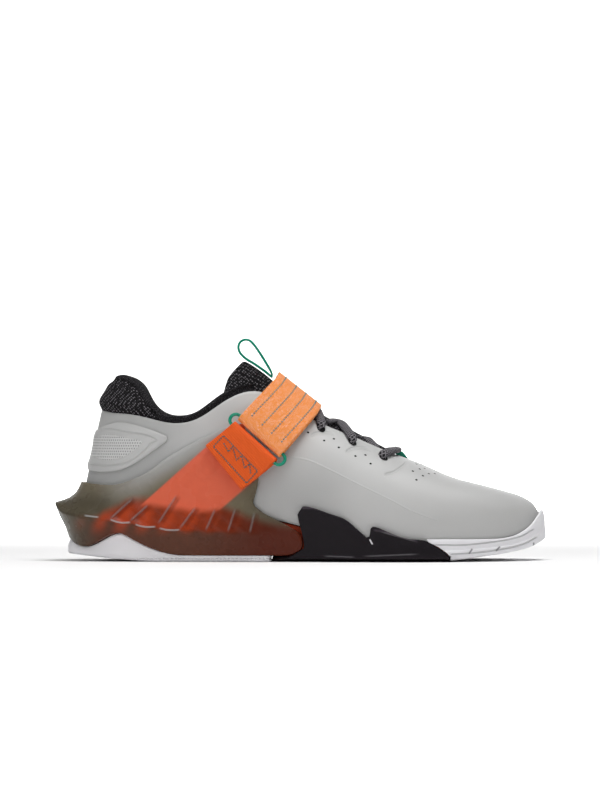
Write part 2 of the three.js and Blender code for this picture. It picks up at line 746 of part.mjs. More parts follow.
function buildInsole() {
  const base = (along) => seatHeight(along) + upperWall + fitGap;
  const side = -(upperWall + insoleThickness * 0.3);
  return dish([
    fullLoop((along) => base(along), side - insoleThickness * 0.5),
    fullLoop((along) => base(along) + insoleThickness * 0.2, side),
    fullLoop((along) => base(along) + insoleThickness, side - insoleThickness * 0.35),
    fullLoop((along) => base(along) + insoleThickness * 0.8, side - insoleThickness * 1.2),
  ], true);
}
addPiece('insole', buildInsole(), 0x2a2a2c, 0.9);

// Midsole
const bottomHeel = smoothTable(heelSoleRows, 'along', 'bottom');
const bottomToe = smoothTable(bumperRows, 'along', 'bottom');
const bottomHeight = (along) => heelSeat * (along < 0.5 ? bottomHeel(along) : bottomToe(along));
const plateTop = (along) => bottomHeight(along) + plateThickness;

function buildMidsole() {
  const bottom = (along) => plateTop(along) + fitGap;
  const top = (along) => seatHeight(along) - fitGap;
  return dish([
    fullLoop((along) => bottom(along), -4 * foamEdge),
    fullLoop((along) => bottom(along) + fitGap, -fitGap - foamEdge),
    fullLoop((along) => bottom(along) + foamEdge, -fitGap),
    fullLoop((along) => top(along) - foamEdge, -fitGap),
    fullLoop((along) => top(along), -fitGap - foamEdge),
  ], true);
}
addPiece('midsole', buildMidsole(), 0xa84628, 0.7);

// Heel outsole
const heelSoleTop = smoothTable(heelSoleRows, 'along', 'top');
const heelSoleShare = smoothTable(heelSoleRows, 'along', 'reach');
const heelSoleReach = (along) => plateThickness * heelSoleShare(along);
const heelStations = 43;

function heelLoop(heightOf, depthOf, floor = false) {
  const loop = [];
  for (let i = 0; i < heelStations; i += 1) {
    const share = -1 + 2 * i / (heelStations - 1);
    const side = share < 0 ? -1 : 1;
    const end = arcOf(side * turnOf(heelSoleEnd));
    const turn = turnAtArc(Math.abs(share) * end, side);
    const along = alongOf(turn);
    loop.push(besideOutline(turn, floor ? heightOf : () => heightOf(along), depthOf(along)));
  }
  return loop;
}

function buildHeelOutsole() {
  const reach = heelSoleReach;
  const top = (along) => Math.max(heelSeat * heelSoleTop(along), plateTop(along) + 0.05);
  const foot = (along) => bottomHeight(along) * 1.15 + soleStep;
  const lip = (along) => Math.min(reach(along), cageBase + 2 * fitGap + plateThickness * ease(0.03, 0, along));
  return dish([
    heelLoop(bottomHeight, (along) => reach(along) - 2 * plateThickness, true),
    heelLoop((along) => bottomHeight(along) * 1.1, (along) => reach(along) - soleStep),
    heelLoop(foot, reach),
    heelLoop((along) => mix(foot(along), top(along), 0.5), reach),
    heelLoop(top, lip),
    heelLoop(top, () => curveGap),
    heelLoop(plateTop, () => curveGap, true),
    heelLoop(plateTop, () => -2 * plateThickness, true),
  ], false);
}
addPiece('heel_outsole', buildHeelOutsole(), 0xe2e2e6, 0.5);

// Heel cage with its rear fin, ridge, ribs and wings
const cageTop = smoothTable(cageTopRows, 'along', 'height');
const cageFront = smoothTable(cageFrontRows, 'height', 'along');
const finHeight = smoothTable(finRows, 'along', 'height');
const cageColumns = 49;
const cageLevels = [0, 0.12, 0.24, 0.36, 0.48, 0.6, 0.74, 0.88, 1];
const ridgeLevel = cageLevels[4];

function cageTurn(share, height) {
  const side = share < 0 ? -1 : 1;
  const end = arcOf(side * turnOf(cageFront(height / heelSeat)));
  return turnAtArc(Math.abs(share) * end, side);
}

function cageEdge(share, heightOf, start) {
  let height = start;
  for (let pass = 0; pass < 24; pass += 1) {
    height = (height + heightOf(alongOf(cageTurn(share, height)))) / 2;
  }
  return height;
}

const cageBottom = (along) => Math.max(heelSeat * heelSoleTop(along), plateTop(along)) + fitGap;

function cageDepth(turn, height, crest) {
  const along = alongOf(turn);
  const above = height - heelSeat * finHeight(along);
  const fade = Math.exp(-along / 0.1);
  const sweep = above > 0 ? Math.exp(-above / finAbove) : Math.exp(above / finBelow);
  const base = mix(cageWall, cageBase, ease(2.3 * heelSeat, 1.5 * heelSeat, height));
  const ribSpan = ease(0.02, 0.07, along) * ease(0.44, 0.3, along);
  const ribs = crest * ribHeight * ribSpan * ease(ribReach, finAbove, Math.abs(above));
  const skirt = cageSkirt * sweep * ease(0.5, 0.3, along);
  return curveGap + base + finReach * fade * sweep + ribs + skirt;
}

function buildCage() {
  const columns = [];
  for (let i = 0; i < cageColumns; i += 1) {
    const share = -1 + 2 * i / (cageColumns - 1);
    const low = cageEdge(share, cageBottom, 0);
    const high = cageEdge(share, (along) => heelSeat * cageTop(along), 2 * heelSeat);
    const ridge = heelSeat * finHeight(alongOf(cageTurn(share, heelSeat * 0.7)));
    const middle = clamp(ridge, low + cageBase, high - finAbove);
    columns.push({ share, low, high, middle, crest: i % 2 });
  }
  const place = (i, j, outside) => {
    const { share, low, high, middle, crest } = columns[i];
    const level = cageLevels[j];
    const height = level < ridgeLevel ? mix(low, middle, level / ridgeLevel)
      : mix(middle, high, (level - ridgeLevel) / (1 - ridgeLevel));
    const turn = cageTurn(share, height);
    const depth = outside ? cageDepth(turn, height, crest) : curveGap;
    return wall(turn, height, depth);
  };
  return shell(cageColumns, cageLevels.length, (i, j) => place(i, j, true), (i, j) => place(i, j, false));
}
addPiece('heel_cage', buildCage(), 0x7d725f, 0.3);

// Midfoot wrap: one U through the sole with two lobes up each side
const wrapTop = smoothTable(wrapRows, 'share', 'top');
const wrapBack = smoothTable(wrapEndRows, 'height', 'back');
const wrapFront = smoothTable(wrapEndRows, 'height', 'front');
const wrapLevels = [0, 0.2, 0.45, 0.72, 1];

function buildWrap() {
  const sideHeight = (share, level) => mix(plateThickness + fitGap, heelSeat * wrapTop(share), level);
  const alongAt = (share, height) => {
    const back = wrapBack(height / heelSeat);
    return mix(back, wrapFront(height / heelSeat), share);
  };
  const place = (i, j, outside) => {
    const { share } = wrapRows[i];
    const side = j < wrapLevels.length + 1 ? -1 : 1;
    const step = side < 0 ? j : 2 * wrapLevels.length + 1 - j;
    const level = wrapLevels.length - 1 - step;
    if (level >= 0) {
      const height = sideHeight(share, wrapLevels[level]);
      const turn = side * turnOf(alongAt(share, height));
      const lower = outside && level === 0 ? wrapWall : height;
      return wall(turn, lower, outside ? curveGap + wrapWall : curveGap);
    }
    const along = alongAt(share, 0);
    const point = wall(side * turnOf(along), 0, outside ? -foamEdge : -wrapTurnIn);
    return point.setZ(outside ? 0 : plateThickness);
  };
  return shell(wrapRows.length, 2 * wrapLevels.length + 2, (i, j) => place(i, j, true),
    (i, j) => place(i, j, false));
}
addPiece('midfoot_wrap', buildWrap(), 0x201c20, 0.5);

// Forefoot outsole with the toe bumper
const bumperRim = smoothTable(bumperRows, 'along', 'rim');
const bumperStations = 49;

const bumperStart = 0.71;

function bumperLoop(heightOf, depth) {
  const loop = [];
  for (let i = 0; i < bumperStations; i += 1) {
    const share = -1 + 2 * i / (bumperStations - 1);
    const side = share < 0 ? -1 : 1;
    const arc = mix(arcOf(side), arcOf(side * turnOf(bumperStart)), Math.abs(share));
    const turn = turnAtArc(arc, side);
    if (depth < 0) loop.push(besideOutline(turn, heightOf, depth));
    else loop.push(wall(turn, heightOf(alongOf(turn)), depth));
  }
  return loop;
}

// Side outline of what the wrap takes from the forefoot outsole, drawn in X and Z
function wrapSideShape() {
  const shape = new THREE.Shape();
  const farBack = placeX(bumperStart) - ballWidth / 2;
  const low = -heelSeat;
  const high = 2 * heelSeat;
  const edgeX = (height) => placeX(wrapFront(height / heelSeat)) + 3 * fitGap;
  shape.moveTo(farBack, low);
  shape.lineTo(edgeX(0), low);
  wrapEndRows.forEach((row) => shape.lineTo(edgeX(row.height * heelSeat), row.height * heelSeat));
  shape.lineTo(edgeX(high), high);
  shape.lineTo(farBack, high);
  shape.closePath();
  return shape;
}

function buildBumper() {
  const bottom = (along) => bottomHeight(along) + fitGap;
  const rim = (along) => heelSeat * bumperRim(along);
  const outer = curveGap + bumperWall;
  const part = (share) => (along) => mix(bottom(along) + 1.5 * soleStep, rim(along), share);
  const inner = (share) => (along) => mix(Math.max(plateTop(along), seatHeight(along)), rim(along), share);
  const whole = dish([
    bumperLoop(bottom, -wrapTurnIn),
    bumperLoop(bottom, 2 * curveGap),
    bumperLoop(part(0), outer - bumperStep / 3),
    bumperLoop(part(0.34), outer),
    bumperLoop(part(0.4), outer - bumperStep),
    bumperLoop(part(0.7), outer - bumperStep / 2),
    bumperLoop(part(0.94), outer - bumperStep * 1.3),
    bumperLoop(rim, outer - bumperStep * 2),
    bumperLoop(rim, curveGap),
    bumperLoop(inner(0.5), curveGap),
    bumperLoop(plateTop, curveGap),
    bumperLoop(plateTop, -wrapTurnIn),
  ], false);
  const depth = 2 * ballWidth;
  const cutter = new THREE.ExtrudeGeometry(wrapSideShape(), { depth, bevelEnabled: false });
  cutter.rotateX(quarter);
  cutter.translate(0, depth / 2, 0);
  return toGeometry(toSolid(whole).subtract(toSolid(cutter)));
}
addPiece('forefoot_outsole', buildBumper(), 0xe4e4e8, 0.5);

// Heel counter: an overlay ring round the heel, thinner in the mesh window each side
const counterLow = smoothTable(counterRows, 'along', 'low');
const counterHigh = smoothTable(counterRows, 'along', 'high');
const counterStations = 24;
const counterLevels = [0, 0.18, 0.27, 0.5, 0.73, 0.82, 1];

function buildCounter() {
  const place = (i, j, outside) => {
    const turn = turnOf(counterEnd) * (-1 + 2 * i / counterStations);
    const along = alongOf(turn);
    const height = collarHeight * mix(counterLow(along), counterHigh(along), counterLevels[j]);
    const windowed = j > 1 && j < 5 && along < windowEnd;
    const edged = j === 0 || j === counterLevels.length - 1;
    const thickness = counterThickness * (windowed || edged ? counterRim : 1);
    return wall(turn, height, outside ? curveGap + thickness : curveGap);
  };
  return shell(counterStations + 1, counterLevels.length, (i, j) => place(i, j, true),
    (i, j) => place(i, j, false));
}
addPiece('heel_counter', buildCounter(), 0xb4b6b4, 0.5);

// Tongue
const tongueAlong = smoothTable(tongueRows, 'share', 'along');
const tongueHalf = smoothTable(tongueRows, 'share', 'half');
const tongueLiftShare = smoothTable(tongueRows, 'share', 'lift');
const tongueLift = (share) => tonguePad * tongueLiftShare(share);
const tongueSweep = smoothTable(tongueRows, 'share', 'sweep');
const tongueStations = 14;
const tongueAcross = 8;
// Wings of the tongue lie inside the upper, and inside the collar's pad further back.
const tuckAt = (along) => -(upperWall + 2 * curveGap + (padAt(along) + curveGap) * ease(0.42, 0.385, along));

function throatHalfAt(along) {
  let low = throatStart;
  let high = 1;
  for (let pass = 0; pass < 24; pass += 1) {
    const middle = (low + high) / 2;
    if (throatAlong(middle) < along) low = middle;
    else high = middle;
  }
  return halfBall * throatHalf(low);
}

function tonguePoint(share, across, depth) {
  const half = halfBall * tongueHalf(share);
  const along = tongueAlong(share) - tongueSweep(share) * across * across;
  const side = across < 0 ? -1 : 1;
  const turn = side * turnOf(along);
  const span = outline(turn).distanceTo(spine(turn));
  const y = Math.abs(across) * half;
  const inward = clamp(y / span, 0, 0.985);
  const climb = Math.acos(inward ** (squareness(along) / 2));
  const clear = Math.max(1, throatHalfAt(along) - mix(2 * upperWall, upperWall * 0.7, ease(0.38, 0.46, along)));
  const raised = ease(clear, clear * 0.5, y);
  return skin(turn, climb, mix(tuckAt(along), tongueLift(share), raised) + depth);
}

function buildTongue() {
  const place = (i, j, depth) => tonguePoint(i / tongueStations, -1 + 2 * j / tongueAcross, depth);
  const pad = (i, j) => {
    const middle = 1 - Math.abs(-1 + 2 * j / tongueAcross) ** 4;
    const front = ease(0, 0.5, i / tongueStations);
    return mix(tongueEdge, mix(tonguePad / 2, tonguePad, front), middle);
  };
  return shell(tongueStations + 1, tongueAcross + 1, (i, j) => place(i, j, 0),
    (i, j) => place(i, j, -pad(i, j)));
}
addPiece('tongue', buildTongue(), 0x232325, 0.9);

// Strap: one ribbon, from the medial end over the instep, round the ring and back on itself
const strapBack = smoothTable(strapRows, 'share', 'back');
const strapFront = smoothTable(strapRows, 'share', 'front');
const strapDrop = smoothTable(strapRows, 'share', 'drop');
const strapLiftShare = smoothTable(strapRows, 'share', 'lift');
const strapLift = (share) => tonguePad * strapLiftShare(share);
const strapTilt = smoothTable(strapRows, 'share', 'tilt');
const strapOverlap = 0.86;
const strapFoldAt = 0.05;
const strapClosed = 0.25;
const edgeStep = 0.05;
const ribbonSteps = 12;

function girthAt(along, side, height) {
  return side * (1 - climbAt(side * turnOf(along), height) / quarter);
}

function strapEdge(edge, share, depth) {
  const drop = strapDrop(share);
  const side = drop < 0 ? -1 : 1;
  const ends = side < 0 ? strapEnds.lateral : strapEnds.medial;
  const endAlong = (edge === 'back' ? strapBack : strapFront)(side < 0 ? 0 : 1);
  const girth = girthAt(endAlong, side, instepHeight * ends[edge]);
  const tilt = edge === 'back' ? tonguePad * strapTilt(share) : 0;
  return instep((edge === 'back' ? strapBack : strapFront)(share), Math.abs(drop) * girth, depth + tilt);
}

// Frame of a band's edge: its point, the way along the band and the way out of the shoe
function edgeFrame(pointAt, share, depth) {
  const point = pointAt(share, depth);
  const along = pointAt(share + edgeStep, depth).sub(point).normalize();
  const out = pointAt(share, depth + 1).sub(point).normalize();
  return { point, along, out };
}

// Sections of a fold round a bar, from the layer below to the layer above
function foldSections(frames, thickness, toward) {
  const sections = [];
  const steps = 6;
  for (let k = 1; k < steps; k += 1) {
    const angle = Math.PI * k / steps;
    const at = (frame, radius) => frame.point.clone()
      .addScaledVector(frame.out, -Math.cos(angle) * radius)
      .addScaledVector(frame.along, toward * Math.sin(angle) * radius);
    sections.push([
      at(frames.back, foldRadius + thickness), at(frames.front, foldRadius + thickness),
      at(frames.front, foldRadius), at(frames.back, foldRadius),
    ]);
  }
  return sections;
}

const barDepth = curveGap + cageWall + fitGap + webbing + foldRadius;

function layerSection(pointAt, share, low, high) {
  return [pointAt.back(share, low), pointAt.front(share, low), pointAt.front(share, high), pointAt.back(share, high)];
}

function buildStrap() {
  const pointAt = {
    back: (share, depth) => strapEdge('back', share, depth),
    front: (share, depth) => strapEdge('front', share, depth),
  };
  const closing = (share) => ease(strapFoldAt, strapClosed, share);
  const under = (share) => mix(barDepth - foldRadius, strapLift(share) + webbing, closing(share));
  const over = (share) => mix(barDepth + foldRadius, under(share) + fitGap, closing(share));
  const sections = [];
  for (let k = 0; k <= ribbonSteps; k += 1) {
    const share = mix(1, strapFoldAt, k / ribbonSteps);
    sections.push(layerSection(pointAt, share, under(share) - webbing, under(share)));
  }
  const frames = {
    back: edgeFrame(pointAt.back, strapFoldAt, barDepth),
    front: edgeFrame(pointAt.front, strapFoldAt, barDepth),
  };
  sections.push(...foldSections(frames, webbing, -1));
  for (let k = 0; k <= ribbonSteps; k += 1) {
    const share = mix(strapFoldAt, strapOverlap, k / ribbonSteps);
    sections.push(layerSection(pointAt, share, over(share) + webbing, over(share)));
  }
  return loft(sections);
}
addPiece('strap', buildStrap(), 0xf58a40, 0.8);

// Anchor: a webbing loop sewn to the lateral wing, folded round the ring's lower bar
const anchorBack = smoothTable(anchorRows, 'share', 'back');
const anchorFront = smoothTable(anchorRows, 'share', 'front');
const anchorHighBack = smoothTable(anchorRows, 'share', 'highBack');
const anchorHighFront = smoothTable(anchorRows, 'share', 'highFront');

function anchorEdge(edge, share, depth) {
  const along = (edge === 'back' ? anchorBack : anchorFront)(share);
  const height = instepHeight * (edge === 'back' ? anchorHighBack : anchorHighFront)(share);
  return wall(-turnOf(along), height, depth);
}

// The bars of the ring: its upper one in the strap's fold, its lower one beside it
function ringFrame() {
  const back = edgeFrame((share, depth) => strapEdge('back', share, depth), strapFoldAt, barDepth);
  const front = edgeFrame((share, depth) => strapEdge('front', share, depth), strapFoldAt, barDepth);
  const length = front.point.clone().sub(back.point).normalize();
  const out = back.out.clone().add(front.out).normalize();
  const up = out.clone().cross(length).normalize();
  if (up.dot(back.along) < 0) up.negate();
  const spacing = ringWidth - ringWire;
  const centre = back.point.clone().add(front.point).multiplyScalar(0.5).addScaledVector(up, -spacing / 2);
  const facing = length.clone().cross(up).normalize();
  if (facing.dot(back.out) < 0) facing.negate();
  return { centre, length, up, out: facing, spacing };
}

function buildAnchor() {
  const ring = ringFrame();
  const bar = (edge) => {
    const reach = anchorEdge('front', 1, barDepth).distanceTo(anchorEdge('back', 1, barDepth)) / 2;
    return ring.centre.clone().addScaledVector(ring.up, -ring.spacing / 2)
      .addScaledVector(ring.length, edge === 'back' ? -reach : reach);
  };
  const frames = {
    back: { point: bar('back'), along: ring.up, out: ring.out },
    front: { point: bar('front'), along: ring.up, out: ring.out },
  };
  const lowDepth = 2 * curveGap + cageBase;
  const place = (edge, share, depth, offset) => {
    const low = anchorEdge(edge, 0, depth);
    const high = frames[edge].point.clone().addScaledVector(ring.out, offset);
    const straight = low.clone().lerp(high, share);
    const follow = anchorEdge(edge, share, depth + share * (barDepth + offset - depth));
    return straight.lerp(follow, 1 - share);
  };
  const layer = (share, lowOffset, highOffset, lowAt, highAt) => [
    place('back', share, lowAt, lowOffset), place('front', share, lowAt, lowOffset),
    place('front', share, highAt, highOffset), place('back', share, highAt, highOffset),
  ];
  const sections = [];
  const steps = 5;
  for (let k = 0; k <= steps; k += 1) {
    sections.push(layer(k / steps, -foldRadius - webbing, -foldRadius, lowDepth, lowDepth + webbing));
  }
  sections.push(...foldSections(frames, webbing, 1));
  for (let k = steps; k >= 0; k -= 1) {
    const base = lowDepth + webbing + fitGap;
    sections.push(layer(k / steps, foldRadius + webbing, foldRadius, base + webbing, base));
  }
  return loft(sections);
}
addPiece('strap_anchor', buildAnchor(), 0xec6a28, 0.8);

function buildRing() {
  const { centre, length, up, out, spacing } = ringFrame();
  const halfLong = (ringLength - ringWire) / 2;
  const radius = spacing / 2;
  const straight = halfLong - radius;
  const path = [];
  const arcSteps = 6;
  [1, -1].forEach((end) => {
    for (let k = 0; k <= arcSteps; k += 1) {
      const angle = -quarter + Math.PI * k / arcSteps;
      const along = end * (straight + radius * Math.cos(angle));
      const across = end * radius * Math.sin(angle);
      const point = centre.clone().addScaledVector(length, along).addScaledVector(up, across);
      const aside = length.clone().multiplyScalar(end * Math.cos(angle)).addScaledVector(up, end * Math.sin(angle));
      path.push({ point, aside });
    }
  });
  const sides = 6;
  const sections = path.map(({ point, aside }) => {
    const section = [];
    for (let k = 0; k < sides; k += 1) {
      const angle = 2 * Math.PI * k / sides;
      section.push(point.clone().addScaledVector(aside, Math.cos(angle) * ringWire / 2)
        .addScaledVector(out, Math.sin(angle) * ringWire / 2));
    }
    return section;
  });
  return loft(sections, true);
}
addPiece('strap_ring', buildRing(), 0x008c6e, 0.5);

// Laces: flat crossings over the throat, each pair joined where they cross, and the front bar
const laceSteps = 6;

function laceStrip(routeAt) {
  const sections = [];
  for (let k = 0; k <= laceSteps; k += 1) {
    const share = k / laceSteps;
    const step = 0.02;
    const from = routeAt(Math.max(0, share - step), 0);
    const to = routeAt(Math.min(1, share + step), 0);
    const point = routeAt(share, 0);
    const out = routeAt(share, 1).sub(point).normalize();
    const aside = to.sub(from).normalize().cross(out).normalize();
    const half = laceWidth / 2;
    const thick = laceThickness / 2;
    const corner = (a, b) => point.clone().addScaledVector(aside, a * half).addScaledVector(out, b * thick);
    sections.push([corner(-1, 0), corner(-0.7, -1), corner(0.7, -1), corner(1, 0), corner(0.7, 1), corner(-0.7, 1)]);
  }
  return loft(sections);
}

const laceRest = curveGap + laceThickness / 2;

function laceRoute(side, row) {
  return (share, lift) => {
    const along = mix(row.along, row.farAlong, share);
    const girth = side * mix(row.girth, -row.farGirth, share);
    const raised = laceThickness * mix(row.lift, row.farLift, share) + laceBow * Math.sin(Math.PI * share);
    return instep(along, girth, laceRest + raised + lift);
  };
}

crossingRows.forEach((row, rank) => {
  const pair = [-1, 1].map((side) => toSolid(laceStrip(laceRoute(side, row))));
  addPiece(`lace_crossing_${rank + 1}`, toGeometry(pair[0].add(pair[1])), 0x18181a, 0.9);
});

const barRoute = (share, lift) => {
  const bow = Math.sin(Math.PI * share);
  const girth = barEyelet.girth * (2 * share - 1);
  return instep(barEyelet.along + barReach * bow, girth, laceRest + barBow * bow + lift);
};
addPiece('lace_bar', laceStrip(barRoute), 0x18181a, 0.9);

// Throat tab: a small folded strip in front of the lace bar, lift in shares of its thickness
const tabRows = [
  { along: 0.734, lift: 0.556 },
  { along: 0.722, lift: 0.556 },
  { along: 0.710, lift: 1.111 },
  { along: 0.702, lift: 4.000 },
];

function buildTab() {
  const halfWide = new THREE.Vector3(0, tabWidth / 2, 0);
  const sections = tabRows.map(({ along, lift }) => {
    const low = instep(along, 0, tabThickness * lift);
    const high = instep(along, 0, tabThickness * (lift + 1));
    return [
      low.clone().add(halfWide), low.clone().sub(halfWide),
      high.clone().sub(halfWide), high.clone().add(halfWide),
    ];
  });
  return loft(sections);
}
addPiece('throat_tab', buildTab(), 0x008c6e, 0.7);

// Pull loop: a thin webbing ring, its lower strand on the tongue, its upper strand standing free
const strandLow = 0.74;
const strandHigh = 0.97;
const strandSteps = 6;

function buildLoop() {
  const tip = tonguePoint(1, 0, curveGap);
  const path = [];
  for (let k = 0; k <= strandSteps; k += 1) {
    const share = mix(strandLow, strandHigh, k / strandSteps);
    path.push(tonguePoint(share, 0, curveGap + loopThickness / 2));
  }
  loopRows.forEach(({ forward, up }) => {
    path.push(new THREE.Vector3(tip.x + forward * loopHeight, tip.y, tip.z + up * loopHeight));
  });
  const count = path.length;
  const sections = path.map((point, k) => {
    const before = path[(k + count - 1) % count];
    const after = path[(k + 1) % count];
    const tangent = new THREE.Vector2(after.x - before.x, after.z - before.z).normalize();
    const aside = new THREE.Vector3(-tangent.y, 0, tangent.x).multiplyScalar(loopThickness / 2);
    const wide = new THREE.Vector3(0, loopWidth / 2, 0);
    return [
      point.clone().add(aside).add(wide), point.clone().add(aside).sub(wide),
      point.clone().sub(aside).sub(wide), point.clone().sub(aside).add(wide),
    ];
  });
  return loft(sections, true);
}
addPiece('pull_loop', buildLoop(), 0x008c6e, 0.7);

export default shoe;
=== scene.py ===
"""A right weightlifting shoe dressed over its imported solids, in a plain studio."""

import math

import bmesh
import bpy
from bpy.props import FloatProperty, FloatVectorProperty, PointerProperty
from mathutils import Matrix, Vector
from mathutils.bvhtree import BVHTree


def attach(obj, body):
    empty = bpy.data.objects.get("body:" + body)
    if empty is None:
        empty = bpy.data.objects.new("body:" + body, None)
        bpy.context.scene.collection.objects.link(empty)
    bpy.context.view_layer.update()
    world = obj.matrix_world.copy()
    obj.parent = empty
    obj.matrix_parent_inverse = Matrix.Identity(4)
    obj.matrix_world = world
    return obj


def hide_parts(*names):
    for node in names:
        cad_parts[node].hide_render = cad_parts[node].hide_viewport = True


bl_info = {
    "name": "Weightlifting shoe",
    "version": (1, 0, 0),
    "blender": (4, 5, 0),
    "location": "3D View > Sidebar > Shoe",
    "description": "Dresses a weightlifting shoe: skin, knit, webbing, stitches, laces, soles and studio",
    "category": "Object",
}

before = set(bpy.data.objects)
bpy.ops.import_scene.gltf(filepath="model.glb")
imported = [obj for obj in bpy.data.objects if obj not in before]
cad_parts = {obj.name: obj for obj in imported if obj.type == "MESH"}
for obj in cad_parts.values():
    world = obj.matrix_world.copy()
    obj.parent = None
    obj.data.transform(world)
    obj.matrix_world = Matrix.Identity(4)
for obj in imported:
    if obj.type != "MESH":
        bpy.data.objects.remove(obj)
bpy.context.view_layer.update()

MM = 0.001
SIDES = (-1, 1)


def tone(red, green, blue):
    """Linear colour of a display colour from 0 to 255."""
    shares = (red / 255, green / 255, blue / 255)
    return tuple(s / 12.92 if s <= 0.04045 else ((s + 0.055) / 1.055) ** 2.4 for s in shares)


def size_setting(name, description, default):
    return FloatProperty(name=name, description=description, default=default, min=0.0,
                         subtype="DISTANCE", unit="LENGTH", precision=5)


def colour_setting(name, description, default):
    return FloatVectorProperty(name=name, description=description, default=default, size=3,
                               min=0.0, max=1.0, subtype="COLOR")


class ShoeSizes(bpy.types.PropertyGroup):
    """Sizes of the fine parts"""

    lace_width: size_setting("Lace width", "Width of the flat lace", 6.0 * MM)
    lace_thickness: size_setting("Lace thickness", "Thickness of the flat lace", 3.0 * MM)
    eyelet: size_setting("Eyelet", "Radius of an eyelet hole", 2.7 * MM)
    vent: size_setting("Vent hole", "Radius of a vent hole", 0.75 * MM)
    stitch_pitch: size_setting("Stitch pitch", "Distance from stitch to stitch", 2.0 * MM)
    thread: size_setting("Thread", "Thickness of the sewing thread", 0.75 * MM)
    crease_depth: size_setting("Crease depth", "Depth of the creases in the skin", 0.8 * MM)
    knit_cell: size_setting("Knit cell", "Width of a cell of the coarse knit", 1.15 * MM)
    rib_pitch: size_setting("Webbing rib", "Distance between the ribs of the webbing", 1.25 * MM)


class ShoeColours(bpy.types.PropertyGroup):
    """Colours of the finishes"""

    skin: colour_setting("Skin", "Smooth grey skin of the upper", tone(190, 190, 189))
    knit: colour_setting("Knit", "Black knit of the collar and tongue", tone(21, 20, 22))
    # Light flecks: lighter yarn in the knit, and painted highlight on the knit's raised loops and on the
    # laces' braid.
    fleck_and_sheen: colour_setting("Fleck", "Lighter yarn in the knit and laces", tone(118, 115, 119))
    smoke: colour_setting("Smoke", "See-through moulding of the heel cage", tone(112, 103, 84))
    band: colour_setting("Band", "Webbing seen through the cage", tone(222, 102, 74))
    ember: colour_setting("Ember", "Foam seen through the cage's ribs", tone(142, 47, 16))
    rubber: colour_setting("White rubber", "Heel and forefoot outsoles", tone(236, 235, 238))
    wrap: colour_setting("Black rubber", "Midfoot wrap", tone(30, 26, 30))
    strap: colour_setting("Strap", "Orange webbing of the strap", tone(255, 150, 78))
    anchor: colour_setting("Anchor", "Deeper webbing of the anchor", tone(255, 104, 42))
    green: colour_setting("Green", "Ring, pull loop and throat tab", tone(0, 142, 112))
    thread: colour_setting("Thread", "Sewing thread of the webbing", tone(62, 92, 92))


class StudioSizes(bpy.types.PropertyGroup):
    """Sizes of the studio"""

    camera_distance: size_setting("Camera distance", "From the camera to the shoe", 5.0)
    view_height: size_setting("View height", "Height of what the camera frames", 0.4896)
    camera_rise: FloatProperty(name="Camera rise",
                               description="Angle of the camera above the floor",
                               default=math.radians(0.3), subtype="ANGLE", unit="ROTATION")


# Materials

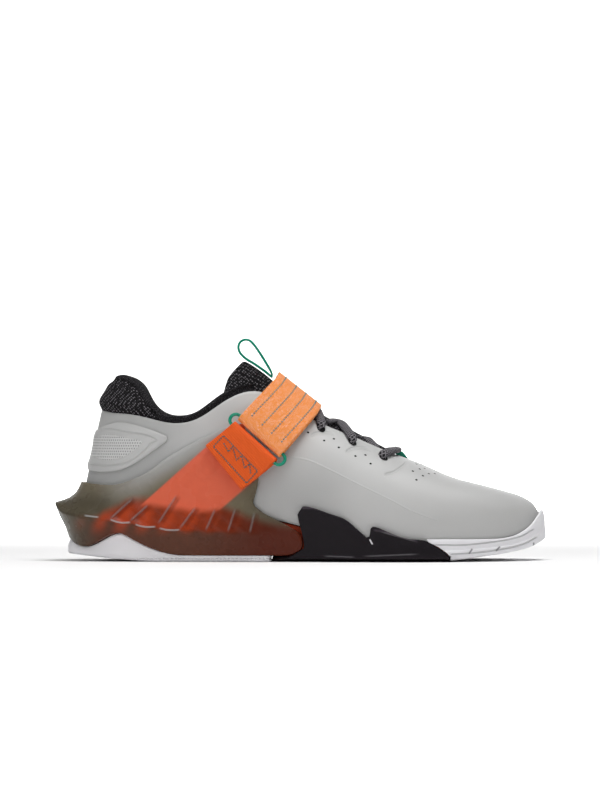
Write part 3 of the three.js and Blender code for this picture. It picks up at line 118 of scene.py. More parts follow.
class Finish:
    """A material in the making. Its patterns lie on the part's own coordinates, in metres."""

    def __init__(self, name, colour, roughness, gloss=0.5, **values):
        self.material = bpy.data.materials.new(name)
        self.material.use_nodes = True
        self.nodes = self.material.node_tree.nodes
        self.links = self.material.node_tree.links
        self.shader = self.nodes["Principled BSDF"]
        self.shader.inputs["Base Color"].default_value = (*colour, 1)
        self.shader.inputs["Roughness"].default_value = roughness
        self.shader.inputs["Specular IOR Level"].default_value = gloss
        for label, value in values.items():
            self.shader.inputs[label.replace("_", " ").title()].default_value = value
        self.material.diffuse_color = (*colour, 1)
        coordinates = self.nodes.new("ShaderNodeTexCoord")
        self.place = coordinates.outputs["Object"]
        self.weave = coordinates.outputs["UV"]
        self.x, self.y, self.z = self.split(self.place)
        self.normal = None

    def feed(self, socket, value):
        if isinstance(value, bpy.types.NodeSocket):
            self.links.new(value, socket)
        elif socket.type == "RGBA":
            socket.default_value = (*value, 1)
        else:
            socket.default_value = value

    def split(self, vector):
        node = self.nodes.new("ShaderNodeSeparateXYZ")
        self.feed(node.inputs[0], vector)
        return node.outputs

    def join(self, x, y, z):
        node = self.nodes.new("ShaderNodeCombineXYZ")
        for socket, value in zip(node.inputs, (x, y, z)):
            self.feed(socket, value)
        return node.outputs[0]

    def math(self, operation, *values):
        node = self.nodes.new("ShaderNodeMath")
        node.operation = operation
        for socket, value in zip(node.inputs, values):
            self.feed(socket, value)
        return node.outputs[0]

    def ease(self, value, low, high):
        """0 at low and 1 at high, smooth between. Low may be the larger."""
        node = self.nodes.new("ShaderNodeMapRange")
        node.interpolation_type = "SMOOTHSTEP"
        flipped = low > high
        for socket, number in zip(node.inputs, (value, min(low, high), max(low, high),
                                                float(flipped), float(not flipped))):
            self.feed(socket, number)
        return node.outputs[0]

    def times(self, first, second):
        return self.math("MULTIPLY", first, second)

    def plus(self, first, second):
        return self.math("ADD", first, second)

    def minus(self, first, second):
        return self.math("SUBTRACT", first, second)

    def larger(self, first, second):
        return self.math("MAXIMUM", first, second)

    def noise(self, scale, detail=2.0):
        node = self.nodes.new("ShaderNodeTexNoise")
        node.inputs["Scale"].default_value = scale
        node.inputs["Detail"].default_value = detail
        self.feed(node.inputs["Vector"], self.place)
        return node.outputs[0]

    def cells(self, pitch, randomness, vector=None):
        """Distance to the nearest cell's middle, in shares of the pitch."""
        node = self.nodes.new("ShaderNodeTexVoronoi")
        node.inputs["Scale"].default_value = 1 / pitch
        node.inputs["Randomness"].default_value = randomness
        self.feed(node.inputs["Vector"], vector or self.place)
        return node.outputs["Distance"]

    def wave(self, value, pitch):
        """0 to 1 and back over each pitch."""
        turned = self.times(value, 2 * math.pi / pitch)
        return self.math("MULTIPLY_ADD", self.math("SINE", turned), 0.5, 0.5)

    def height_at(self, line):
        """Height of a line of the side view, over X. The line is in millimetres."""
        xs = [x for x, _ in line]
        zs = [z for _, z in line]
        low, high = min(zs) - 1, max(zs) + 1
        share = self.nodes.new("ShaderNodeMapRange")
        for socket, value in zip(share.inputs, (self.x, xs[0] * MM, xs[-1] * MM, 0.0, 1.0)):
            self.feed(socket, value)
        curve = self.nodes.new("ShaderNodeFloatCurve")
        points = curve.mapping.curves[0].points
        shares = [((x - xs[0]) / (xs[-1] - xs[0]), (z - low) / (high - low)) for x, z in line]
        points[0].location = shares[0]
        points[1].location = shares[-1]
        for place in shares[1:-1]:
            points.new(*place)
        for point in points:
            point.handle_type = "AUTO_CLAMPED"
        curve.mapping.update()
        self.feed(curve.inputs["Value"], share.outputs[0])
        return self.math("MULTIPLY_ADD", curve.outputs[0], (high - low) * MM, low * MM)

    def above(self, line, soft=0.6):
        """1 above a line of the side view and 0 below it."""
        rise = self.minus(self.z, self.height_at(line))
        return self.ease(rise, -soft * MM, soft * MM)

    def near(self, line, half_width):
        """1 on a line of the side view, 0 away from it and past its ends."""
        rise = self.math("ABSOLUTE", self.minus(self.z, self.height_at(line)))
        on_line = self.ease(rise, half_width * MM, half_width * MM * 0.3)
        start = self.ease(self.x, (line[0][0] - 1) * MM, (line[0][0] + 1) * MM)
        end = self.ease(self.x, (line[-1][0] + 1) * MM, (line[-1][0] - 1) * MM)
        return self.times(on_line, self.times(start, end))

    def beside(self, start, end, soft=0.6):
        """1 to the left of a straight line of the side view, seen from its start."""
        along = Vector((end[0] - start[0], end[1] - start[1])).normalized()
        across = Vector((-along.y, along.x))
        offset = -(across.x * start[0] + across.y * start[1]) * MM
        part = self.math("MULTIPLY_ADD", self.x, across.x, offset)
        return self.ease(self.math("MULTIPLY_ADD", self.z, across.y, part), -soft * MM, soft * MM)

    def stroke(self, start, end, half_width):
        """1 on a straight stroke of the side view, fading to its sides and ends."""
        along = Vector((end[0] - start[0], end[1] - start[1]))
        length = along.length * MM
        along.normalize()
        across = Vector((-along.y, along.x))
        shares = []
        for way in (along, across):
            part = self.math("MULTIPLY_ADD", self.x, way.x, -way.dot(Vector(start)) * MM)
            shares.append(self.math("MULTIPLY_ADD", self.z, way.y, part))
        aside = self.math("ABSOLUTE", shares[1])
        middle = self.math("ABSOLUTE", self.minus(shares[0], length / 2))
        return self.times(self.ease(aside, half_width * MM, half_width * MM * 0.2),
                         self.ease(middle, length / 2, length * 0.3))

    def every(self, *masks):
        total = masks[0]
        for mask in masks[1:]:
            total = self.times(total, mask)
        return total

    def blend(self, share, low, high):
        node = self.nodes.new("ShaderNodeMix")
        node.data_type = "RGBA"
        self.feed(node.inputs["Factor"], share)
        colours = [socket for socket in node.inputs if socket.type == "RGBA"]
        self.feed(colours[0], low)
        self.feed(colours[1], high)
        return next(socket for socket in node.outputs if socket.type == "RGBA")

    def paint(self, colour):
        self.feed(self.shader.inputs["Base Color"], colour)

    def dull(self, roughness):
        self.feed(self.shader.inputs["Roughness"], roughness)

    def emboss(self, height, depth, strength=1.0):
        """Adds relief: depth in metres for a height from 0 to 1."""
        node = self.nodes.new("ShaderNodeBump")
        node.inputs["Strength"].default_value = strength
        node.inputs["Distance"].default_value = depth
        self.feed(node.inputs["Height"], height)
        if self.normal:
            self.feed(node.inputs["Normal"], self.normal)
        self.normal = node.outputs[0]
        self.feed(self.shader.inputs["Normal"], self.normal)


def shade(colour, share):
    return tuple(min(1.0, channel * share) for channel in colour)


# Lines of the side view, X and Z in millimetres
# Small moves against the solids, in mm, where the photograph asks for them
PEAK_X = -30.2
PEAK_RISE = 1.9
PAD_SWELL = 3.6
RIM_SHIFT = 1.8
TAB_BUMP_X = 141.6
TAB_BUMP_RISE = 1.2
TOP_STRAND_LIFT = 1.2
LOW_CROSSING = "lace_crossing_3"
LOW_CROSSING_DROP = 1.7

# Thickness of a lace as a share of the lace's own, where it isn't 1
LACE_FLATNESS = {"lace_bar": 1.25, LOW_CROSSING: 0.5}

# Soft boxes: name, place and target in metres, power in watts, width in metres, spread in degrees
LAMPS = (
    ("top_softbox", (0.25, -0.2, 1.5), (0.1, 0, 0.04), 22, 1.2, 180),
    ("front_wash", (0.1, -3.0, 2.0), (0.1, -2.9, 0.0), 120, 2.0, 90),
    ("low_fill", (-0.9, -1.5, 0.45), (-0.04, 0, 0.01), 3.8, 0.7, 180),
    ("heel_rim", (-1.3, 0.6, 0.8), (0.08, 0, 0.04), 0.8, 0.8, 180),
    ("rear_wash", (0.1, 2.0, 1.6), (0.1, 2.05, 0.0), 110, 2.0, 60),
    ("backdrop_wash", (0, 3.6, 3.0), (0, 7.6, 0.6), 420, 3.0, 180),
)

PANEL_LINE = ((74.1, 63.6), (85.1, 61.2), (97.3, 55.7), (109.5, 49.6), (121.8, 43.5),
              (134.0, 37.6), (146.3, 31.2), (162.8, 25.1))
SKIN_CREASES = (
    ((85.7, 76.5), (90.0, 78.0), (94.9, 78.1), (99.8, 76.7)),
    ((107.1, 66.7), (111.4, 68.5), (116.9, 68.9), (122.4, 67.3)),
    ((130.4, 52.6), (135.3, 53.9), (139.5, 56.5), (143.2, 59.4)),
)
VENT_HOLES = ((83.8, 78.3), (93.6, 73.4), (99.5, 74.4), (102.5, 69.2), (112.6, 64.0),
              (118.7, 64.6), (121.8, 59.4), (147.5, 54.8), (149.6, 49.6), (149.9, 58.9),
              (151.8, 56.0), (153.6, 52.0), (153.0, 58.8), (154.8, 56.3), (157.3, 53.2),
              (161.0, 53.2))
COLLAR_SEAM = ((-44.1, 107.7), (-39.2, 109.5), (-35.5, 110.5), (-28.2, 110.2), (-22.0, 106.5),
               (-19.0, 101.6), (-15.9, 97.3), (-12.9, 93.6), (-9.8, 90.6), (-6.7, 88.1))
COUNTER_TOP = ((-50.8, 79.6), (-40.4, 80.2), (-34.3, 79.9), (-28.2, 78.9), (-19.0, 77.4),
               (-12.9, 75.9), (-8.0, 73.4))
COUNTER_LOW = ((-52.0, 59.4), (-40.4, 58.1), (-31.2, 58.8), (-22.0, 62.4), (-15.9, 67.3),
               (-11.6, 71.6), (-8.0, 73.4))
WINDOW_TOP = ((-52.0, 74.7), (-47.1, 75.3), (-43.5, 76.2), (-37.3, 77.1), (-31.2, 75.9),
              (-25.1, 74.7), (-19.0, 73.4), (-17.1, 72.5))
WINDOW_LOW = ((-52.0, 64.9), (-49.6, 64.3), (-43.5, 62.1), (-39.2, 61.2), (-34.3, 61.8),
              (-28.2, 63.6), (-23.3, 66.7), (-19.0, 69.8), (-17.1, 72.5))
CAGE_TOP = ((-58.1, 47.7), (-48.3, 46.8), (-35.5, 45.9), (-31.2, 46.8), (-25.1, 49.0),
            (-19.0, 51.7), (-12.9, 55.1), (-6.7, 59.4), (2.4, 64.9), (17.7, 73.4), (34.9, 82.6))
CAGE_RIDGE = ((-71.6, 32.4), (-66.7, 30.6), (-61.8, 29.4), (-55.7, 28.2), (-48.3, 27.2),
              (-40.4, 26.0), (-32.4, 23.9), (-25.1, 23.3), (-15.9, 21.1), (-6.7, 20.2),
              (2.4, 19.0), (17.7, 18.4), (78.9, 15.9))
RIDGE_SHELVES = (
    ((-52.0, 27.8), (-48.3, 27.3), (-44.1, 26.9)),
    ((-36.1, 25.3), (-32.4, 24.1), (-28.8, 23.5), (-24.5, 23.7)),
    ((-20.8, 22.4), (-17.1, 21.3), (-12.9, 20.9), (-9.2, 21.1)),
    ((-6.1, 20.1), (-1.8, 19.2), (1.8, 19.0), (5.5, 19.3)),
)
LOWER_GLOW = ((-74.1, 28.8), (-49.6, 25.7), (-40.4, 29.4), (-31.2, 33.7), (-19.0, 37.9),
              (-0.6, 36.7), (26.9, 34.3), (42.2, 29.4), (55.7, 24.5), (80.8, 20.2))
BAND_BACK = ((21.4, 69.2), (-18.4, 33.7))
BAND_FRONT = ((30.0, 31.2), (43.5, 42.8))
BAND_FOOT = ((-25.1, 35.5), (-12.9, 34.3), (2.4, 32.4), (17.7, 30.6), (33.0, 31.8), (45.3, 36.7))
ANCHOR_SEAMS = (
    ((32.4, 76.5), (53.2, 55.1)),
    ((53.2, 55.1), (46.5, 47.7)),
    ((46.5, 47.7), (26.3, 69.8)),
    ((26.3, 69.8), (32.4, 76.5)),
    ((32.4, 72.2), (35.5, 66.7), (37.9, 69.8), (40.4, 61.8), (43.5, 64.3), (45.3, 56.9),
     (48.3, 59.4), (49.0, 53.2)),
)
CAGE_RIBS = (
    ((-37.3, 25.1), (-22.0, 39.2)),
    ((-25.1, 23.9), (-12.9, 34.9)),
    ((-8.0, 22.0), (4.3, 41.0)),
    ((5.5, 19.6), (15.9, 33.7)),
    ((21.4, 18.4), (27.5, 32.4)),
    ((34.9, 17.7), (39.8, 33.0)),
    ((48.3, 17.1), (51.4, 30.6)),
)
TOE_STEPS = (
    ((158.5, 10.4), (173.8, 10.1), (192.2, 11.3), (210.5, 14.1), (221.5, 19.0)),
    ((170.1, 4.6), (186.0, 5.5), (201.3, 7.3), (213.6, 9.8), (223.4, 14.1)),
)
TOE_NOTCHES = (
    ((181.2, 4.6), (183.6, 8.0)),
    ((197.7, 6.1), (200.7, 9.2)),
    ((221.5, 8.0), (221.5, 11.3)),
)
WRAP_LIPS = (
    ((92.4, 3.5), (113.2, 2.9)),
    ((115.7, 3.4), (152.4, 4.9)),
    ((126.7, 18.7), (149.3, 12.5)),
)
WRAP_RIMS = (
    ((80.2, 32.6), (86.3, 32.6), (97.3, 30.3), (106.5, 27.5), (112.0, 24.5), (116.9, 18.7)),
    ((123.6, 19.3), (131.0, 18.4), (140.1, 15.3), (149.9, 12.5)),
)
WRAP_GLINT = ((120.9, 14.1), (123.0, 10.4))
FRAME_MIDDLE = (78.9, 0, 97.9)
LACE_ROUTES = {
    "lace_crossing_1": (
        ((91.9, -24.3, 83.3), (90.9, -18.7, 87.4), (89.9, -12.6, 90.2), (88.7, -5.5, 91.7),
         (87.4, 2.4, 91.8), (86.0, 7.4, 90.7)),
        ((91.8, 16.9, 83.3), (90.9, 12.3, 87.3), (89.9, 7.2, 90.2), (88.7, 1.4, 91.7),
         (87.4, -6.9, 91.8), (86.0, -13.3, 90.7)),
    ),
    "lace_crossing_2": (
        ((110.7, -25.7, 74.7), (108.1, -19.3, 79.1), (105.3, -12.3, 82.3), (102.4, -4.4, 84.4),
         (99.4, 3.8, 85.3), (96.4, 9.0, 84.9)),
        ((110.6, 19.7, 74.7), (108.0, 14.1, 79.0), (105.3, 8.1, 82.3), (102.4, 1.4, 84.4),
         (99.4, -7.7, 85.3), (96.4, -14.4, 84.9)),
    ),
    "lace_crossing_3": (
        ((124.3, -14.3, 71.4), (122.2, -10.5, 73.3), (120.0, -6.3, 75.0), (117.7, -1.2, 76.3),
         (115.4, 3.7, 77.2), (113.0, 6.7, 77.6)),
        ((124.3, 12.3, 71.4), (122.2, 8.7, 73.4), (120.0, 4.9, 75.0), (117.7, 0.4, 76.3),
         (115.4, -5.5, 77.2), (113.0, -9.6, 77.6)),
    ),
    "lace_bar": (
        ((129.7, -28.5, 65.2), (133.6, -21.9, 66.7), (137.8, -11.3, 67.4), (137.7, 11.5, 67.4),
         (133.5, 20.4, 66.7), (129.4, 25.6, 65.2)),
    ),
}
EYELETS = ((91.4, -23.5, 82.2), (91.4, 15.9, 82.2), (110.3, -25.0, 73.5), (110.2, 18.8, 73.5),
           (129.2, -27.9, 63.9), (129.1, 24.9, 63.9))
# Back and front edge of the strap's top layer, from the ring to the medial end
STRAP_EDGES = (
    ((43.0, -38.7, 89.2), (68.2, -45.0, 66.4)), ((50.6, -33.3, 97.0), (77.1, -38.9, 76.0)),
    ((57.4, -29.4, 104.3), (84.2, -33.4, 84.2)), ((63.4, -22.6, 110.7), (89.6, -24.6, 90.4)),
    ((66.4, -11.1, 115.2), (92.2, -11.9, 94.4)), ((65.7, 6.6, 114.4), (92.2, 6.3, 94.6)),
    ((62.7, 19.5, 106.2), (90.5, 18.9, 89.2)), ((58.6, 26.8, 93.0), (86.9, 27.3, 78.7)),
    ((54.8, 32.0, 73.7), (82.6, 33.2, 63.0)), ((51.5, 34.6, 45.5), (78.2, 35.7, 41.0)),
)
ANCHOR_EDGES = (
    ((21.4, -37.6, 70.6), (43.2, -42.1, 43.8)), ((29.8, -37.2, 78.6), (52.4, -42.8, 52.0)),
    ((38.4, -35.9, 86.8), (61.8, -42.7, 60.4)),
)
STRAP_SEAMS = (0.16, 0.405, 0.63, 0.865)


# Shapes

def solid_mesh(node):
    """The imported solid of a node, merged, its triangles joined to quads."""
    bm = bmesh.new()
    bm.from_mesh(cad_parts[node].data)
    bmesh.ops.remove_doubles(bm, verts=bm.verts, dist=1e-6)
    bmesh.ops.join_triangles(bm, faces=bm.faces, angle_face_threshold=0.8,
                             angle_shape_threshold=1.4, topology_influence=1.0)
    return bm


def crease_edges(bm, angle, weight):
    layer = bm.edges.layers.float.get("crease_edge") or bm.edges.layers.float.new("crease_edge")
    for edge in bm.edges:
        if len(edge.link_faces) == 2 and edge.calc_face_angle() > math.radians(angle):
            edge[layer] = weight


def make_piece(bm, name):
    for face in bm.faces:
        face.smooth = True
    mesh = bpy.data.meshes.new(name)
    bm.to_mesh(mesh)
    bm.free()
    piece = bpy.data.objects.new(name, mesh)
    bpy.context.collection.objects.link(piece)
    return piece


def subdivide(piece, levels):
    """Gives the piece the smooth form of its subdivision surface."""
    smoothing = piece.modifiers.new("smoothing", "SUBSURF")
    smoothing.levels = levels
    smoothing.render_levels = levels
    depsgraph = bpy.context.evaluated_depsgraph_get()
    finished = bpy.data.meshes.new_from_object(piece.evaluated_get(depsgraph), depsgraph=depsgraph)
    piece.modifiers.clear()
    piece.data = finished
    finished.name = piece.name


def smooth_copy(node, name, levels=2, angle=40, weight=0.8):
    bm = solid_mesh(node)
    crease_edges(bm, angle, weight)
    piece = make_piece(bm, name)
    subdivide(piece, levels)
    return piece


def opened(piece):
    bm = bmesh.new()
    bm.from_mesh(piece.data)
    bm.normal_update()
    return bm


def closed(bm, piece):
    bm.to_mesh(piece.data)
    bm.free()


def dress(piece, slot, *finishes, nodes=()):
    """Gives a piece its materials and its body, and hides the nodes it stands for."""
    piece.data.materials.clear()
    for finish in finishes:
        piece.data.materials.append(finish.material if isinstance(finish, Finish) else finish)
    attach(piece, "root")
    if nodes:
        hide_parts(*nodes)
    return piece


def surface_of(*pieces):
    """A search tree over the faces of some pieces."""
    bm = bmesh.new()
    for piece in pieces:
        bm.from_mesh(piece.data)
    tree = BVHTree.FromBMesh(bm)
    bm.free()
    return tree


def core(place):
    """The middle of the shoe's inside near a place."""
    x = min(max(place.x, -30 * MM), 195 * MM)
    slope = min(max((x - 60 * MM) / (110 * MM), 0), 1)
    return Vector((x, (8 * slope - 1) * MM, (58 - 36 * slope) * MM))


def faces_out(place, normal):
    return (place - core(place)).dot(normal) > 0


def distance_to(line, x, z):
    """Distance from a line of the side view, and the share of its length there."""
    best = (1e9, 0.0)
    for i in range(len(line) - 1):
        start, end = Vector(line[i]) * MM, Vector(line[i + 1]) * MM
        along = end - start
        share = min(max((Vector((x, z)) - start).dot(along) / along.length_squared, 0), 1)
        gap = (Vector((x, z)) - start - along * share).length
        if gap < best[0]:
            best = (gap, (i + share) / (len(line) - 1))
    return best


def press_line(bm, line, depth, width, sides=SIDES):
    """Presses a soft trough into the outer skin along a line of the side view."""
    low = min(x for x, _ in line) * MM - 3 * width
    high = max(x for x, _ in line) * MM + 3 * width
    for vert in bm.verts:
        if not low < vert.co.x < high or (1 if vert.co.y > 0 else -1) not in sides:
            continue
        if not faces_out(vert.co, vert.normal):
            continue
        gap, share = distance_to(line, vert.co.x, vert.co.z)
        fade = min(1.0, 6 * share, 6 * (1 - share)) if 0 < share < 1 else 0.0
        vert.co -= vert.normal * depth * fade * math.exp(-(gap / width) ** 2)


def raise_peak(bm):
    """Draws up the pointed peak where the heel rubber and the cage meet."""
    for vert in bm.verts:
        aside = abs(vert.co.x - PEAK_X * MM) / (7 * MM)
        low = min(max((vert.co.z - 6 * MM) / (5 * MM), 0), 1)
        high = min(max((26 * MM - vert.co.z) / (9 * MM), 0), 1)
        vert.co.z += PEAK_RISE * MM * math.exp(-aside) * low * high


def on_side(tree, x, z, side):
    """Point and normal where a level line from one side meets a surface."""
    place, normal, _, _ = tree.ray_cast(Vector((x * MM, side * 0.3, z * MM)), Vector((0, -side, 0)))
    return place, normal


def seat_matrix(place, normal, along):
    """A frame on a surface: X along, Z out."""
    out = normal.normalized()
    aside = out.cross(along).normalized()
    ahead = aside.cross(out).normalized()
    turn = Matrix((ahead, aside, out)).transposed().to_4x4()
    return Matrix.Translation(place) @ turn


def lay_discs(bm, spots, radius, length=None):
    """Lays flat round or oval discs on a surface, a hair above it."""
    for place, normal, along in spots:
        seat = seat_matrix(place + normal.normalized() * 0.05 * MM, normal, along)
        scale = Matrix.Diagonal((length / radius if length else 1, 1, 1, 1))
        bmesh.ops.create_circle(bm, cap_ends=True, segments=14, radius=radius, matrix=seat @ scale)


def sew(bm, places, pitch, thread, fill=0.72):
    """Lays stitches along a path of points and normals."""
    lengths = [0.0]
    for i in range(1, len(places)):
        lengths.append(lengths[-1] + (places[i][0] - places[i - 1][0]).length)
    count = max(1, round(lengths[-1] / pitch))
    step = lengths[-1] / count
    for k in range(count):
        middle = (k + 0.5) * step
        i = next(n for n in range(1, len(lengths)) if lengths[n] >= middle)
        share = (middle - lengths[i - 1]) / (lengths[i] - lengths[i - 1])
        place = places[i - 1][0].lerp(places[i][0], share)
        normal = places[i - 1][1].lerp(places[i][1], share)
        seat = seat_matrix(place, normal, places[i][0] - places[i - 1][0])
        size = Matrix.Diagonal((step * fill, thread, thread * 0.8, 1))
        bmesh.ops.create_uvsphere(bm, u_segments=8, v_segments=6, radius=0.5, matrix=seat @ size)


def side_path(tree, line, side, steps=12):
    """Points and normals on a surface along a line of the side view."""
    places = []
    for i in range(len(line) - 1):
        for k in range(steps + (i == len(line) - 2)):
            x, z = Vector(line[i]).lerp(Vector(line[i + 1]), k / steps)
            place, normal = on_side(tree, x, z, side)
            if place:
                places.append((place, normal))
    return places


def band_place(edges, share, across):
    """Point of a band from its edge rows, and the way out of it."""
    at = share * (len(edges) - 1)
    i = min(int(at), len(edges) - 2)
    rows = [[Vector(point) * MM for point in row] for row in edges]
    back = rows[i][0].lerp(rows[i + 1][0], at - i)
    front = rows[i][1].lerp(rows[i + 1][1], at - i)
    along = (rows[i + 1][0] - rows[i][0]) + (rows[i + 1][1] - rows[i][1])
    out = along.cross(front - back).normalized()
    place = back.lerp(front, across)
    if (place - core(place)).dot(out) < 0:
        out.negate()
    return place, out


def band_path(tree, edges, across, start=0.0, end=1.0, steps=40):
    places = []
    for k in range(steps + 1):
        place, out = band_place(edges, start + (end - start) * k / steps, across)
        hit, normal, _, _ = tree.ray_cast(place + out * 6 * MM, -out)
        if hit:
            places.append((hit, normal))
    return places


def lay_weave(bm, edges):
    """Writes a UV map in metres: along the band and across it."""
    rows = [[Vector(point) * MM for point in row] for row in edges]
    middles = [(row[0] + row[1]) / 2 for row in rows]
    starts = [0.0]
    for i in range(1, len(middles)):
        starts.append(starts[-1] + (middles[i] - middles[i - 1]).length)
    layer = bm.loops.layers.uv.verify()
    for vert in bm.verts:
        best = None
        for i in range(len(rows) - 1):
            along = middles[i + 1] - middles[i]
            share = (vert.co - middles[i]).dot(along) / along.length_squared
            low = -1.0 if i == 0 else 0.0
            high = 2.0 if i == len(rows) - 2 else 1.0
            share = min(max(share, low), high)
            middle = middles[i] + along * share
            gap = (vert.co - middle).length
            if best is None or gap < best[0]:
                width = (rows[i][1] - rows[i][0]).normalized()
                best = (gap, starts[i] + share * along.length, (vert.co - middle).dot(width))
        for loop in vert.link_loops:
            loop[layer].uv = best[1:]


def route_through(points, per_step=5):
    """A smooth path through a few points."""
    knots = [points[0] * 2 - points[1], *points, points[-1] * 2 - points[-2]]
    path = []
    for i in range(1, len(knots) - 2):
        before, start, end, after = knots[i - 1:i + 3]
        for k in range(per_step):
            t = k / per_step
            path.append(0.5 * (2 * start + (end - before) * t
                               + (2 * before - 5 * start + 4 * end - after) * t ** 2
                               + (3 * start - before - 3 * end + after) * t ** 3))
    path.append(points[-1].copy())
    return path


def lay_cord(bm, path, width, thickness, sides=12):
    """A flat oval cord along a path, with its length and its turn as UV map."""
    ring, run = [], 0.0
    marks = {}
    for i, place in enumerate(path):
        ahead = (path[min(i + 1, len(path) - 1)] - path[max(i - 1, 0)]).normalized()
        out = place - core(place)
        seat = seat_matrix(place, out - ahead * out.dot(ahead), ahead)
        if i == 0:
            ring = bmesh.ops.create_circle(bm, segments=sides, radius=0.5)["verts"]
        else:
            edges = [bm.edges.get((ring[k], ring[(k + 1) % sides])) for k in range(sides)]
            fresh = set(bmesh.ops.extrude_edge_only(bm, edges=edges)["geom"])
            ring = [next(e.other_vert(v) for e in v.link_edges if e.other_vert(v) in fresh)
                    for v in ring]
            run += (place - path[i - 1]).length
        for k, vert in enumerate(ring):
            angle = 2 * math.pi * k / sides
            across = width / 2 * math.cos(angle)
            vert.co = seat @ Vector((0, across, thickness / 2 * math.sin(angle)))
            marks[vert] = (run, k)
    bmesh.ops.holes_fill(bm, edges=[edge for edge in bm.edges if edge.is_boundary], sides=sides)
    layer = bm.loops.layers.uv.verify()
    for face in {face for vert in marks for face in vert.link_faces}:
        seam = {marks[vert][1] for vert in face.verts} >= {0, sides - 1} and len(face.verts) == 4
        for loop in face.loops:
            length, k = marks[loop.vert]
            loop[layer].uv = (length, (sides if seam and k == 0 else k) / sides)


# Finishes

def skin_finish(colours):
    skin = Finish("grey_skin", colours.skin, 0.46, gloss=0.35)
    cloud = skin.noise(22, 3)
    tint = skin.blend(cloud, shade(colours.skin, 0.95), shade(colours.skin, 1.04))
    # Painted shade: the skin is painted darker towards the heel and under the collar.
    tint = skin.blend(skin.times(skin.ease(skin.x, 24 * MM, -10 * MM), 0.26), tint,
                      shade(colours.skin, 0.3))
    # Painted shade: the lower wall behind the throat, under the strap, is painted darker.
    low = skin.every(skin.ease(skin.z, 72 * MM, 42 * MM), skin.ease(skin.x, 118 * MM, 84 * MM))
    tint = skin.blend(skin.times(low, 0.26), tint, shade(colours.skin, 0.3))
    fold = skin.near(SKIN_CREASES[0], 1.4)
    for line in SKIN_CREASES[1:]:
        fold = skin.larger(fold, skin.near(line, 1.4))
    # Painted shade in the creases: the skin is painted darker along them.
    tint = skin.blend(skin.times(fold, 0.25), tint, shade(colours.skin, 0.75))
    skin.emboss(fold, -0.5 * MM, 0.7)
    # Painted highlight: a lighter line along the raised panel line.
    panel = skin.near(PANEL_LINE, 0.7)
    skin.paint(skin.blend(skin.times(panel, 0.22), tint, shade(colours.skin, 1.22)))
    skin.dull(skin.math("MULTIPLY_ADD", skin.noise(160, 2), 0.14, 0.4))
    skin.emboss(skin.noise(2600, 2), 0.05 * MM, 0.55)
    skin.emboss(panel, 0.25 * MM, 0.8)
    skin.emboss(skin.cells(0.9 * MM, 1.0), 0.02 * MM, 0.5)
    return skin


def lining_finish(colours):
    lining = Finish("dark_lining", shade(colours.knit, 1.6), 0.9, gloss=0.15)
    cells = lining.cells(1.1 * MM, 0.3)
    lining.paint(lining.blend(lining.ease(cells, 0.2, 0.6), shade(colours.knit, 2.6), colours.knit))
    lining.emboss(cells, 0.2 * MM, 0.7)
    return lining


def knit_finish(colours, sizes, seam=None):
    """Coarse spacer knit. Above the seam it is the finer, tighter knit of the binding."""
    knit = Finish("black_spacer_knit" if seam else "black_tongue_knit", colours.knit, 0.8,
                  gloss=0.12)
    pitch = sizes.knit_cell
    rising = knit.times(knit.plus(knit.x, knit.z), 0.71)
    falling = knit.times(knit.minus(knit.x, knit.z), 0.48)
    loop = knit.ease(knit.cells(pitch, 0.3, knit.join(rising, falling, knit.y)), 0.62, 0.12)
    fine = knit.ease(knit.cells(pitch * 0.5, 0.5), 0.6, 0.1)
    height = knit.larger(loop, knit.times(fine, 0.35))
    if seam:
        binding = knit.larger(knit.above(seam, 0.5), knit.ease(knit.x, -10 * MM, -8 * MM))
        height = knit.plus(knit.times(height, knit.minus(1.0, binding)),
                           knit.times(fine, knit.times(binding, 0.8)))
    # Light flecks on the raised loops: lighter yarn, with a painted highlight there.
    flecks_and_sheen = knit.times(knit.ease(height, 0.35, 0.9), knit.ease(knit.noise(400, 2), 0.1, 0.4))
    base = tuple(colours.knit)
    if seam:
        base = knit.blend(binding, base, shade(colours.knit, 1.8))
        base = knit.blend(knit.near(seam, 1.3), base, shade(colours.knit, 0.4))
    knit.paint(knit.blend(flecks_and_sheen, base, colours.fleck_and_sheen))
    knit.emboss(height, 0.6 * MM, 1.0)
    knit.emboss(knit.noise(3500, 2), 0.06 * MM, 0.5)
    return knit


